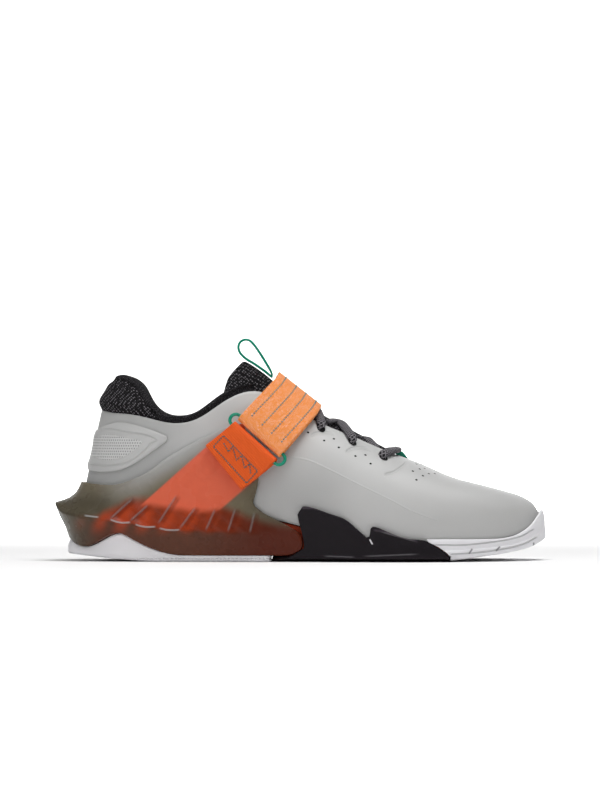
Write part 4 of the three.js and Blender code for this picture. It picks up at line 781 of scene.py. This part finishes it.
def counter_finish(colours):
    """Film overlay of the heel, with a mesh window between two lines."""
    film = Finish("counter_film", shade(colours.skin, 0.93), 0.42, Coat_Weight=0.08)
    window = film.every(film.above(WINDOW_LOW, 0.3), film.minus(1.0, film.above(WINDOW_TOP, 0.3)),
                        film.ease(film.x, -16 * MM, -17.5 * MM))
    row = film.math("MODULO", film.plus(film.z, 1.0), 3.4 * MM)
    shift = film.times(film.math("GREATER_THAN", row, 1.7 * MM), 1.0 * MM)
    along = film.plus(film.plus(film.x, film.math("ABSOLUTE", film.y)), shift)
    across = film.math("ABSOLUTE",
                       film.minus(film.math("MODULO", film.plus(along, 1.0), 2.0 * MM), 1.0 * MM))
    up = film.math("ABSOLUTE",
                   film.minus(film.math("MODULO", film.plus(film.z, 1.0), 1.7 * MM), 0.85 * MM))
    hole = film.times(film.ease(across, 0.6 * MM, 0.28 * MM), film.ease(up, 0.52 * MM, 0.24 * MM))
    thread = film.blend(hole, shade(colours.skin, 1.18), shade(colours.skin, 0.5))
    tint = film.blend(film.noise(30, 2), shade(colours.skin, 0.9), shade(colours.skin, 0.98))
    # Painted shade: the grooves along the counter's top and lower lines are painted darker.
    edge = film.larger(film.near(COUNTER_TOP, 0.9), film.near(COUNTER_LOW, 0.9))
    tint = film.blend(film.times(edge, 0.35), tint, shade(colours.skin, 0.6))
    film.paint(film.blend(window, tint, thread))
    film.dull(film.math("MULTIPLY_ADD", window, 0.3, 0.42))
    film.emboss(film.times(window, film.minus(1.0, hole)), 0.4 * MM, 0.8)
    film.emboss(edge, -0.3 * MM, 0.8)
    film.emboss(film.noise(2600, 2), 0.04 * MM, 0.5)
    return film


def cage_finish(colours):
    """Smoky moulding: lighter where it thins up the wing, with webbing and foam seen through it."""
    cage = Finish("smoky_moulding", colours.smoke, 0.32, gloss=0.14, Coat_Weight=0.03,
                  Coat_Roughness=0.12)
    below_top = cage.minus(cage.height_at(CAGE_TOP), cage.z)
    on_wing = cage.ease(cage.x, -55 * MM, 5 * MM)
    thin = cage.times(cage.ease(below_top, 17 * MM, -2 * MM), on_wing)
    smoke = cage.blend(cage.noise(45, 3), shade(colours.smoke, 0.75), shade(colours.smoke, 1.2))
    dim = cage.times(cage.ease(cage.z, 47 * MM, 35 * MM), cage.ease(cage.x, -14 * MM, -46 * MM))
    smoke = cage.blend(cage.times(dim, 0.7), smoke, shade(colours.smoke, 0.28))
    front = cage.times(cage.ease(cage.x, 42 * MM, 58 * MM), cage.ease(cage.z, 52 * MM, 38 * MM))
    smoke = cage.blend(cage.times(front, 0.6), smoke, shade(colours.smoke, 0.45))
    wing = cage.blend(thin, smoke, shade(colours.skin, 0.8))
    glow = cage.minus(1.0, cage.above(LOWER_GLOW, 4))
    glow = cage.times(glow, cage.ease(cage.x, -64 * MM, -38 * MM))
    # Painted shade: below the overhanging ridge the foam seen through is painted darker and browner.
    under = cage.minus(1.0, cage.above(CAGE_RIDGE, 1.5))
    ember = cage.blend(cage.noise(65, 3), shade(colours.ember, 0.45), shade(colours.ember, 1.5))
    ember = cage.blend(cage.times(under, 0.75), ember, shade(colours.ember, 0.26))
    ember = cage.blend(cage.times(under, 0.4), ember, shade(colours.smoke, 0.45))
    streak = cage.wave(cage.math("MULTIPLY_ADD", cage.z, -0.35, cage.x), 13.6 * MM)
    flame = cage.every(streak, cage.ease(cage.z, 14 * MM, 24 * MM),
                       cage.ease(cage.z, 38 * MM, 28 * MM))
    ember = cage.blend(cage.times(flame, 0.6), ember, shade(colours.ember, 1.9))
    ember = cage.blend(cage.ease(cage.x, 6 * MM, 62 * MM), ember, shade(colours.ember, 0.34))
    lower = cage.blend(cage.times(glow, 0.92), wing, ember)
    band = cage.every(cage.beside(*BAND_BACK, 0.7), cage.beside(*BAND_FRONT, 0.9),
                      cage.above(BAND_FOOT, 3.0), cage.ease(cage.y, 0.0, -5 * MM))
    seen = cage.blend(cage.noise(60, 2), shade(colours.band, 0.94), shade(colours.band, 1.05))
    colour = cage.blend(cage.times(band, 0.95), lower, seen)
    rib = cage.stroke(*CAGE_RIBS[0], 1.1)
    for line in CAGE_RIBS[1:]:
        rib = cage.larger(rib, cage.stroke(*line, 1.1))
    # Painted shadow: a darker band beside each raised rib, just in front of it.
    rib_shadow = cage.stroke(*[(x + 2.0, z) for x, z in CAGE_RIBS[0]], 2.4)
    for line in CAGE_RIBS[1:]:
        rib_shadow = cage.larger(rib_shadow, cage.stroke(*[(x + 2.0, z) for x, z in line], 2.4))
    colour = cage.blend(cage.times(rib_shadow, 0.4), colour, shade(colours.ember, 0.3))
    # Painted highlight: a pale grey line along the crest of each raised rib.
    colour = cage.blend(cage.times(rib, 0.4), colour, shade(colours.skin, 0.42))
    # Painted highlights: light lines along the shelf edges of the scalloped ridge.
    shelf = cage.near(RIDGE_SHELVES[0], 0.8)
    for line in RIDGE_SHELVES[1:]:
        shelf = cage.larger(shelf, cage.near(line, 0.8))
    cage.paint(cage.blend(cage.times(shelf, 0.6), colour, shade(colours.skin, 0.8)))
    cage.dull(cage.math("MULTIPLY_ADD", cage.noise(90, 2), 0.16, 0.2))
    cage.emboss(cage.noise(240, 2), 0.08 * MM, 0.4)
    cage.emboss(rib, 0.5 * MM, 0.8)
    cage.emboss(shelf, 0.5 * MM, 0.7)
    return cage


def rubber_finish(name, colour, roughness, floor_tone, tread=2.6 * MM, grooves=(), notches=(), lips=(),
                  rims=()):
    """Moulded rubber with a fine grain, grip lines underneath, and its colour scaled in mottled patches
    near the floor.
    """
    rubber = Finish(name, colour, roughness, gloss=0.3 if colour[0] > 0.3 else 0.1)
    # Near the floor the colour is scaled in mottled patches by the fourth argument: darker below 1,
    # lighter above.
    near_floor = rubber.times(rubber.ease(rubber.z, 6 * MM, 0.0), rubber.noise(120, 4))
    mottled = rubber.blend(rubber.noise(70, 3), shade(colour, 0.94), shade(colour, 1.03))
    tint = rubber.blend(near_floor, mottled, shade(colour, floor_tone))
    cuts = [rubber.near(line, 0.7) for line in grooves] + [rubber.stroke(*line,
                                                                         0.8) for line in notches]
    # Painted shade: the grooves and notches are painted darker.
    for cut, depth, share in zip(cuts, [0.4] * len(grooves) + [0.8] * len(notches),
                                 [0.5] * len(grooves) + [0.22] * len(notches)):
        tint = rubber.blend(rubber.times(cut, 0.8), tint, shade(colour, share))
        rubber.emboss(cut, -depth * MM, 0.8)
    # Painted highlight: light lines along the rims.
    for line in rims:
        tint = rubber.blend(rubber.times(rubber.near(line, 1.0), 0.5), tint, shade(colour, 6))
    # Painted highlight: light strokes on the raised lips and the glint.
    for line, brightness in lips:
        lip = rubber.stroke(*line, 0.7)
        tint = rubber.blend(lip, tint, brightness)
        rubber.emboss(lip, 0.3 * MM, 0.6)
    rubber.paint(tint)
    rubber.dull(rubber.math("MULTIPLY_ADD", rubber.noise(200, 2), 0.2, roughness - 0.1))
    rubber.emboss(rubber.noise(1800, 2), 0.06 * MM, 0.5)
    sole = rubber.ease(rubber.z, 2.2 * MM, 1.4 * MM)
    slant = rubber.plus(rubber.x, rubber.math("ABSOLUTE", rubber.y))
    grip = rubber.ease(rubber.wave(slant, tread), 0.45, 0.55)
    rubber.emboss(rubber.times(grip, sole), 0.7 * MM, 0.9)
    return rubber


def foam_finish(colours):
    foam = Finish("reddish_foam", colours.ember, 0.75, gloss=0.2)
    foam.paint(foam.blend(foam.noise(80, 3), shade(colours.ember, 0.5), shade(colours.ember, 1.1)))
    foam.emboss(foam.cells(0.8 * MM, 1.0), 0.1 * MM, 0.6)
    return foam


def webbing_finish(name, colour, sizes, ribs_across):
    """Woven band. Its ribs run across it at the anchor and its pile is rough on the strap."""
    band = Finish(name, colour, 0.75, gloss=0.15)
    along, across, _ = band.split(band.weave)
    rib = band.wave(along if ribs_across else across, sizes.rib_pitch * (1 if ribs_across else 0.8))
    pick = band.wave(across if ribs_across else along, sizes.rib_pitch * 0.55)
    speck = band.noise(1300, 3)
    height = band.plus(band.times(rib, 0.6), band.times(pick, 0.25))
    height = band.plus(height, band.times(speck, 0.0 if ribs_across else 0.6))
    yarn = band.blend(band.ease(height, 0.2, 1.1), shade(colour, 0.72), shade(colour, 1.1))
    pale = tuple(0.55 * channel + 0.45 for channel in shade(colour, 1.0))
    fuzz = band.times(band.ease(speck, 0.48, 0.68), 0.0 if ribs_across else 0.55)
    band.paint(band.blend(fuzz, yarn, pale))
    band.emboss(height, 0.22 * MM, 0.8)
    band.emboss(band.noise(2800, 2), 0.05 * MM, 0.5)
    return band


def lace_finish(colours):
    lace = Finish("black_braid", colours.knit, 0.7, gloss=0.2)
    run, turn, _ = lace.split(lace.weave)
    steps = lace.times(turn, 6 * math.pi)
    length = lace.times(run, 2 * math.pi / (3.4 * MM))
    left = lace.math("ABSOLUTE", lace.math("SINE", lace.plus(length, steps)))
    right = lace.math("ABSOLUTE", lace.math("SINE", lace.minus(length, steps)))
    plait = lace.larger(left, right)
    # Painted highlight on the braid: its raised plaits are painted light.
    lace.paint(lace.blend(lace.ease(plait, 0.8, 1.0), shade(colours.knit, 1.3),
                          shade(colours.fleck_and_sheen, 1.2)))
    lace.emboss(plait, 0.5 * MM, 1.0)
    lace.emboss(lace.noise(3500, 2), 0.05 * MM, 0.5)
    return lace


def cloth_finish(colours):
    cloth = Finish("footbed_cloth", shade(colours.knit, 2.2), 0.9, gloss=0.15)
    warp = cloth.wave(cloth.x, 1.2 * MM)
    weft = cloth.wave(cloth.y, 1.2 * MM)
    weave = cloth.larger(warp, weft)
    cloth.paint(cloth.blend(cloth.ease(weave, 0.5, 1.0), colours.knit, shade(colours.knit, 3.2)))
    cloth.emboss(weave, 0.15 * MM, 0.7)
    return cloth


def plain_finish(name, colour, roughness, grain=900, depth=0.05 * MM, **values):
    """One colour with a slight mottle and a fine grain."""
    plain = Finish(name, colour, roughness, **values)
    plain.paint(plain.blend(plain.noise(150, 3), shade(colour, 0.85), shade(colour, 1.12)))
    plain.dull(plain.math("MULTIPLY_ADD", plain.noise(300, 2), 0.16, roughness - 0.08))
    plain.emboss(plain.noise(grain, 3), depth, 0.6)
    return plain


def tape_finish(name, colour):
    """Thin woven tape, its ribs on its own UV map."""
    tape = Finish(name, colour, 0.65, gloss=0.3)
    along, across, _ = tape.split(tape.weave)
    zigzag = tape.plus(along, tape.math("ABSOLUTE", across))
    rib = tape.wave(zigzag, 1.3 * MM)
    tape.paint(tape.blend(rib, shade(colour, 0.7), shade(colour, 1.15)))
    tape.emboss(rib, 0.15 * MM, 0.8)
    return tape


# Pieces

class SHOE_OT_upper(bpy.types.Operator):
    """Grey skin with its creases and panel line, its vent holes and its eyelets"""

    bl_idname = "shoe.upper"
    bl_label = "Upper"

    def execute(self, context):
        sizes, colours = context.scene.shoe_sizes, context.scene.shoe_colours
        skin = smooth_copy("upper", "upper_skin", angle=50, weight=0.7)
        bm = opened(skin)
        for line in SKIN_CREASES:
            press_line(bm, line, sizes.crease_depth, 2.2 * MM)
        press_line(bm, PANEL_LINE, -0.35 * sizes.crease_depth, 2.4 * MM)
        for face in bm.faces:
            face.material_index = 0 if faces_out(face.calc_center_median(), face.normal) else 1
        closed(bm, skin)
        dress(skin, "upper_skin", skin_finish(colours), lining_finish(colours), nodes=["upper"])

        tree = surface_of(skin)
        dark = plain_finish("hole_shadow", shade(colours.knit, 0.4), 0.9)
        bm = bmesh.new()
        spots = []
        for x, z in VENT_HOLES:
            for side in SIDES:
                place, normal = on_side(tree, x, z, side)
                if place:
                    spots.append((place, normal, Vector((1, 0, -0.3))))
        lay_discs(bm, spots, sizes.vent)
        dress(make_piece(bm, "vent_holes"), "upper_skin", dark)
        bm = bmesh.new()
        spots = []
        for point in EYELETS:
            low = Vector(point) * MM + Vector((0.15, math.copysign(0.4, point[1]),
                                               -0.4)) * sizes.eyelet
            place, normal, _, _ = tree.find_nearest(low)
            spots.append((place, normal, Vector((0.2, math.copysign(0.5, point[1]), -0.7))))
        lay_discs(bm, spots, sizes.eyelet, sizes.eyelet * 1.25)
        dress(make_piece(bm, "eyelet_holes"), "upper_skin", dark)
        return {"FINISHED"}


class SHOE_OT_collar(bpy.types.Operator):
    """Padded knit collar with the seam of its binding, and the padded tongue"""

    bl_idname = "shoe.collar"
    bl_label = "Collar and tongue"

    def execute(self, context):
        sizes, colours = context.scene.shoe_sizes, context.scene.shoe_colours
        collar = smooth_copy("collar", "collar_pad", angle=75, weight=0.3)
        bm = opened(collar)
        self.fill_out(bm)
        press_line(bm, COLLAR_SEAM, 1.1 * MM, 1.5 * MM)
        closed(bm, collar)
        dress(collar, "black_knit", knit_finish(colours, sizes, COLLAR_SEAM), nodes=["collar"])

        tongue = smooth_copy("tongue", "tongue_pad", angle=75, weight=0.2)
        bm = opened(tongue)
        for vert in bm.verts:
            if vert.normal.z > 0.2:
                vert.co.z += 2.1 * MM * self.in_throat(vert.co)
        closed(bm, tongue)
        dress(tongue, "black_knit", knit_finish(colours, sizes), nodes=["tongue"])
        return {"FINISHED"}

    def fill_out(self, bm):
        """Swells the pad at the heel so that it stands flush over the skin's top edge."""
        for vert in bm.verts:
            if vert.normal.x > 0 and vert.co.z > 85 * MM and vert.co.x < 12 * MM:
                near = math.exp(-((vert.co.x + 14 * MM) / (9 * MM)) ** 2)
                vert.co.x += RIM_SHIFT * MM * vert.normal.x * near
            if vert.co.x > 4 * MM or not faces_out(vert.co, vert.normal):
                continue
            edge = (88.5 - 0.16 * vert.co.x / MM) * MM if vert.co.x < -10 * MM else 87 * MM
            rise = (vert.co.z - edge - 1.5 * MM) / (6 * MM)
            back = min(max((4 * MM - vert.co.x) / (40 * MM), 0), 1)
            out = (vert.co - core(vert.co)) * Vector((1, 1, 0))
            vert.co += out.normalized() * PAD_SWELL * MM * back * math.exp(-rise * rise)

    def in_throat(self, place):
        """1 in the middle of the throat, 0 at its edges and ends."""
        along = min((place.x - 84 * MM) / (8 * MM), (143 * MM - place.x) / (10 * MM), 1)
        across = 1 - ((place.y + 3 * MM) / (15 * MM)) ** 2
        return max(along, 0) * max(across, 0)


class SHOE_OT_pull_loop(bpy.types.Operator):
    """Green webbing loop on the tongue"""

    bl_idname = "shoe.pull_loop"
    bl_label = "Pull loop"

    def execute(self, context):
        colours = context.scene.shoe_colours
        loop = smooth_copy("pull_loop", "pull_loop_tape", angle=60, weight=0.9)
        bm = opened(loop)
        layer = bm.loops.layers.uv.verify()
        bm.normal_update()
        for vert in bm.verts:
            vert.co += vert.normal * 0.22 * MM
        for face in bm.faces:
            for corner in face.loops:
                place = corner.vert.co
                corner[layer].uv = (place.x + place.z, place.y + 2 * MM)
        closed(bm, loop)
        dress(loop, "green_cord", tape_finish("green_tape", colours.green), nodes=["pull_loop"])
        return {"FINISHED"}


class SHOE_OT_inside(bpy.types.Operator):
    """Footbed and the reddish foam wedge under it"""

    bl_idname = "shoe.inside"
    bl_label = "Footbed and foam"

    def execute(self, context):
        colours = context.scene.shoe_colours
        footbed = smooth_copy("insole", "footbed", weight=0.3)
        dress(footbed, "insole_cloth", cloth_finish(colours), nodes=["insole"])
        foam = smooth_copy("midsole", "foam_wedge", weight=0.5)
        dress(foam, "midsole_foam", foam_finish(colours), nodes=["midsole"])
        return {"FINISHED"}


class SHOE_OT_heel(bpy.types.Operator):
    """Smoky heel cage and the film overlay with its mesh window"""

    bl_idname = "shoe.heel"
    bl_label = "Heel cage and counter"

    def execute(self, context):
        colours = context.scene.shoe_colours
        cage = smooth_copy("heel_cage", "smoky_cage", angle=70, weight=0.6)
        bm = opened(cage)
        raise_peak(bm)
        closed(bm, cage)
        dress(cage, "smoky_cage", cage_finish(colours), nodes=["heel_cage"])
        film = smooth_copy("heel_counter", "counter_film", angle=35, weight=0.5)
        dress(film, "counter_film", counter_finish(colours), nodes=["heel_counter"])
        return {"FINISHED"}


class SHOE_OT_soles(bpy.types.Operator):
    """White heel and forefoot rubber and the black midfoot wrap"""

    bl_idname = "shoe.soles"
    bl_label = "Outsoles and wrap"

    def execute(self, context):
        colours = context.scene.shoe_colours
        # Painted light: the heel's copy of the white rubber is painted 1.12 times lighter than the toe's,
        # to stand in for light on the heel.
        white = rubber_finish("white_rubber_grain", shade(colours.rubber, 1.12), 0.5, 0.96)
        heel = smooth_copy("heel_outsole", "heel_rubber", angle=40, weight=0.9)
        bm = opened(heel)
        raise_peak(bm)
        closed(bm, heel)
        dress(heel, "white_rubber", white, nodes=["heel_outsole"])
        stepped = rubber_finish("white_toe_rubber", colours.rubber, 0.5, 0.62,
                                grooves=TOE_STEPS, notches=TOE_NOTCHES)
        front = smooth_copy("forefoot_outsole", "forefoot_rubber", angle=40, weight=0.85)
        dress(front, "white_rubber", stepped, nodes=["forefoot_outsole"])
        wrap = smooth_copy("midfoot_wrap", "midfoot_rubber", angle=40, weight=0.85)
        bm = opened(wrap)
        for vert in bm.verts:
            if vert.co.y < 0:
                high = min(max((vert.co.z - 6 * MM) / (10 * MM), 0), 1)
                vert.co.x += 3.0 * MM * high * math.exp(-((vert.co.x - 119 * MM) / (9 * MM)) ** 2)
        closed(bm, wrap)
        # Painted highlights on the wrap: light lines on its lips, a glint in the valley between its
        # lobes, and light rims along its top edges.
        lips = [(line, shade(colours.fleck_and_sheen, 0.55)) for line in WRAP_LIPS] + [(WRAP_GLINT,
                                                                              shade(colours.rubber,
                                                                                    0.9))]
        black = rubber_finish("black_rubber_grain", colours.wrap, 0.42, 1.8, lips=lips,
                              rims=WRAP_RIMS)
        dress(wrap, "black_rubber", black, nodes=["midfoot_wrap"])
        return {"FINISHED"}


class SHOE_OT_strap(bpy.types.Operator):
    """Doubled strap, its ring, its anchor and their stitches"""

    bl_idname = "shoe.strap"
    bl_label = "Strap, ring and anchor"

    def execute(self, context):
        sizes, colours = context.scene.shoe_sizes, context.scene.shoe_colours
        strap = self.band(context, "strap", "strap_band", STRAP_EDGES)
        pile = webbing_finish("orange_pile", colours.strap, sizes, ribs_across=False)
        dress(strap, "orange_webbing", pile, nodes=["strap"])
        anchor = self.band(context, "strap_anchor", "anchor_band", ANCHOR_EDGES)
        ribbed = webbing_finish("orange_ribs", colours.anchor, sizes, ribs_across=True)
        dress(anchor, "orange_webbing", ribbed, nodes=["strap_anchor"])
        ring = smooth_copy("strap_ring", "ring_wire", levels=2, angle=120)
        dress(ring, "green_cord", plain_finish("green_plastic", colours.green, 0.35),
              nodes=["strap_ring"])

        thread = plain_finish("sewing_thread", colours.thread, 0.6, grain=2500)
        pale = plain_finish("pale_thread", shade(colours.thread, 2.2), 0.6, grain=2500)
        pitch, thick = sizes.stitch_pitch, sizes.thread
        bm = bmesh.new()
        tree = surface_of(strap)
        for across in STRAP_SEAMS:
            sew(bm, band_path(tree, STRAP_EDGES, across, 0.03, 0.9), pitch, thick * 1.3)
        for share in (0.955, 0.975):
            row = [band_place(STRAP_EDGES, share, 0.06 + 0.88 * k / 16) for k in range(17)]
            hits = [tree.ray_cast(place + out * 6 * MM, -out)[:2] for place, out in row]
            sew(bm, [hit for hit in hits if hit[0]], pitch, thick)
        dress(make_piece(bm, "strap_stitches"), "black_lace", pale)
        bm = bmesh.new()
        tree = surface_of(anchor)
        for line in ANCHOR_SEAMS:
            sew(bm, side_path(tree, line, -1), pitch * 0.8, thick * 1.2, fill=0.8)
        dress(make_piece(bm, "anchor_stitches"), "black_lace", thread)
        return {"FINISHED"}

    def band(self, context, node, name, edges):
        """A smooth copy of a band, finely divided across, with its weave as UV map."""
        bm = solid_mesh(node)
        long_edges = [edge for edge in bm.edges if edge.calc_length() > 25 * MM]
        bmesh.ops.subdivide_edges(bm, edges=long_edges, cuts=5, use_grid_fill=True)
        crease_edges(bm, 60, 0.9)
        piece = make_piece(bm, name)
        subdivide(piece, 2)
        bm = opened(piece)
        lay_weave(bm, edges)
        closed(bm, piece)
        return piece


class SHOE_OT_laces(bpy.types.Operator):
    """Flat laces over the throat, down into the eyelets, and the small throat tab"""

    bl_idname = "shoe.laces"
    bl_label = "Laces"

    def execute(self, context):
        sizes, colours = context.scene.shoe_sizes, context.scene.shoe_colours
        braid = lace_finish(colours)
        tree = surface_of(bpy.data.objects["upper_skin"])
        for node, routes in LACE_ROUTES.items():
            bm = bmesh.new()
            for rank, route in enumerate(routes):
                points = [Vector(point) * MM for point in route]
                path = route_through(self.anchored(tree, points, both=node == "lace_bar"))
                for place in path:
                    if rank == 0 and len(routes) > 1:
                        away = (place - (path[0] + path[-1]) / 2).length
                        bulge = math.exp(-(away / (6 * MM)) ** 2)
                        place += (place - core(place)).normalized() * bulge * TOP_STRAND_LIFT * MM
                if node == LOW_CROSSING:
                    path = [place - Vector((0, 0, LOW_CROSSING_DROP * MM)) for place in path]
                flat = LACE_FLATNESS.get(node, 1.0)
                lay_cord(bm, path, sizes.lace_width, sizes.lace_thickness * flat)
            dress(make_piece(bm, node + "_braid"), "black_lace", braid, nodes=[node])
        tab = smooth_copy("throat_tab", "throat_tab_tape", angle=60, weight=0.9)
        bm = opened(tab)
        bmesh.ops.translate(bm, verts=bm.verts, vec=Vector((-6.2, 0, 2.3)) * MM)
        bm.normal_update()
        for vert in bm.verts:
            if vert.normal.z < 0:
                vert.co += Vector((-1.0, 0, -1.6)) * MM
        for vert in bm.verts:
            ahead = vert.co.x / MM - TAB_BUMP_X
            bump = TAB_BUMP_RISE * math.exp(-(ahead / 1.9) ** 2)
            vert.co.z += (bump - 0.5 * min(max(ahead - 1, 0), 2)) * MM
        closed(bm, tab)
        dress(tab, "green_cord", plain_finish("green_tab", colours.green, 0.6),
              nodes=["throat_tab"])
        return {"FINISHED"}

    def anchored(self, tree, points, both):
        """The route with its eyelet end turned down through the skin."""
        ends = [points[0], points[-1]] if both else [points[0]]
        tucked = []
        for end in ends:
            place, normal, _, _ = tree.find_nearest(end)
            tucked.append(place - normal * 2.2 * MM)
        return [tucked[0], *points] + tucked[1:]


class SHOE_OT_studio(bpy.types.Operator):
    """Pale floor and backdrop, soft lights, and the camera at the lateral side"""

    bl_idname = "shoe.studio"
    bl_label = "Studio"

    def execute(self, context):
        stage = context.scene.studio_sizes
        paper = bpy.data.materials.new("pale_paper")
        paper.use_nodes = True
        shader = paper.node_tree.nodes["Principled BSDF"]
        shader.inputs["Base Color"].default_value = (0.93, 0.93, 0.93, 1)
        shader.inputs["Roughness"].default_value = 0.9
        shader.inputs["Specular IOR Level"].default_value = 0.0
        bm = bmesh.new()
        bmesh.ops.create_grid(bm, x_segments=1, y_segments=1, size=6.5)
        bmesh.ops.translate(bm, verts=bm.verts, vec=(0, 0, -0.2 * MM))
        back = [edge for edge in bm.edges if all(vert.co.y > 6 for vert in edge.verts)]
        bmesh.ops.spin(bm, geom=back, cent=(0, 6.5, 1.5), axis=(1, 0, 0), angle=math.pi / 2,
                       steps=16)
        top = [edge for edge in bm.edges
               if edge.is_boundary and all(v.co.z > 1.4 for v in edge.verts)]
        risen = bmesh.ops.extrude_edge_only(bm, edges=top)["geom"]
        bmesh.ops.translate(bm, verts=[v for v in risen if isinstance(v, bmesh.types.BMVert)],
                            vec=(0, 0, 4))
        floor = make_piece(bm, "paper_sweep")
        floor.data.materials.append(paper)

        world = bpy.data.worlds.new("soft_room")
        world.use_nodes = True
        world.node_tree.nodes["Background"].inputs["Color"].default_value = (1, 1, 1, 1)
        world.node_tree.nodes["Background"].inputs["Strength"].default_value = 0.15
        context.scene.world = world
        context.scene.view_settings.view_transform = "Standard"
        for name, place, target, power, width, spread in LAMPS:
            lamp = bpy.data.lights.new(name, "AREA")
            lamp.energy = power
            lamp.size = width
            lamp.spread = math.radians(spread)
            light = bpy.data.objects.new(name, lamp)
            light.location = place
            aim = Vector(target) - light.location
            light.rotation_euler = aim.to_track_quat("-Z", "Y").to_euler()
            context.collection.objects.link(light)

        middle = Vector(FRAME_MIDDLE) * MM
        lens = bpy.data.cameras.new("side_camera")
        lens.lens = lens.sensor_width * stage.camera_distance / stage.view_height
        lens.clip_end = 50
        camera = bpy.data.objects.new("side_camera", lens)
        rise = math.tan(stage.camera_rise) * stage.camera_distance
        camera.location = middle + Vector((0, -stage.camera_distance, rise))
        camera.rotation_euler = (middle - camera.location).to_track_quat("-Z", "Y").to_euler()
        context.collection.objects.link(camera)
        context.scene.camera = camera
        return {"FINISHED"}


STEPS = (SHOE_OT_upper, SHOE_OT_collar, SHOE_OT_pull_loop, SHOE_OT_inside, SHOE_OT_heel,
         SHOE_OT_soles, SHOE_OT_strap, SHOE_OT_laces, SHOE_OT_studio)


class SHOE_PT_steps(bpy.types.Panel):
    """Lists the steps of the shoe"""

    bl_label = "Weightlifting shoe"
    bl_idname = "SHOE_PT_steps"
    bl_space_type = "VIEW_3D"
    bl_region_type = "UI"
    bl_category = "Shoe"

    def draw(self, context):
        for step in STEPS:
            self.layout.operator(step.bl_idname)
        for group in (context.scene.shoe_sizes, context.scene.shoe_colours,
                      context.scene.studio_sizes):
            column = self.layout.column()
            for setting in group.__annotations__:
                column.prop(group, setting)


CLASSES = (ShoeSizes, ShoeColours, StudioSizes, *STEPS, SHOE_PT_steps)


def register():
    for kind in CLASSES:
        bpy.utils.register_class(kind)
    bpy.types.Scene.shoe_sizes = PointerProperty(type=ShoeSizes)
    bpy.types.Scene.shoe_colours = PointerProperty(type=ShoeColours)
    bpy.types.Scene.studio_sizes = PointerProperty(type=StudioSizes)


def unregister():
    del bpy.types.Scene.studio_sizes
    del bpy.types.Scene.shoe_colours
    del bpy.types.Scene.shoe_sizes
    for kind in reversed(CLASSES):
        bpy.utils.unregister_class(kind)


def main():
    register()
    bpy.ops.shoe.upper()
    bpy.ops.shoe.collar()
    bpy.ops.shoe.pull_loop()
    bpy.ops.shoe.inside()
    bpy.ops.shoe.heel()
    bpy.ops.shoe.soles()
    bpy.ops.shoe.strap()
    bpy.ops.shoe.laces()
    bpy.ops.shoe.studio()


if __name__ == "__main__":
    main()
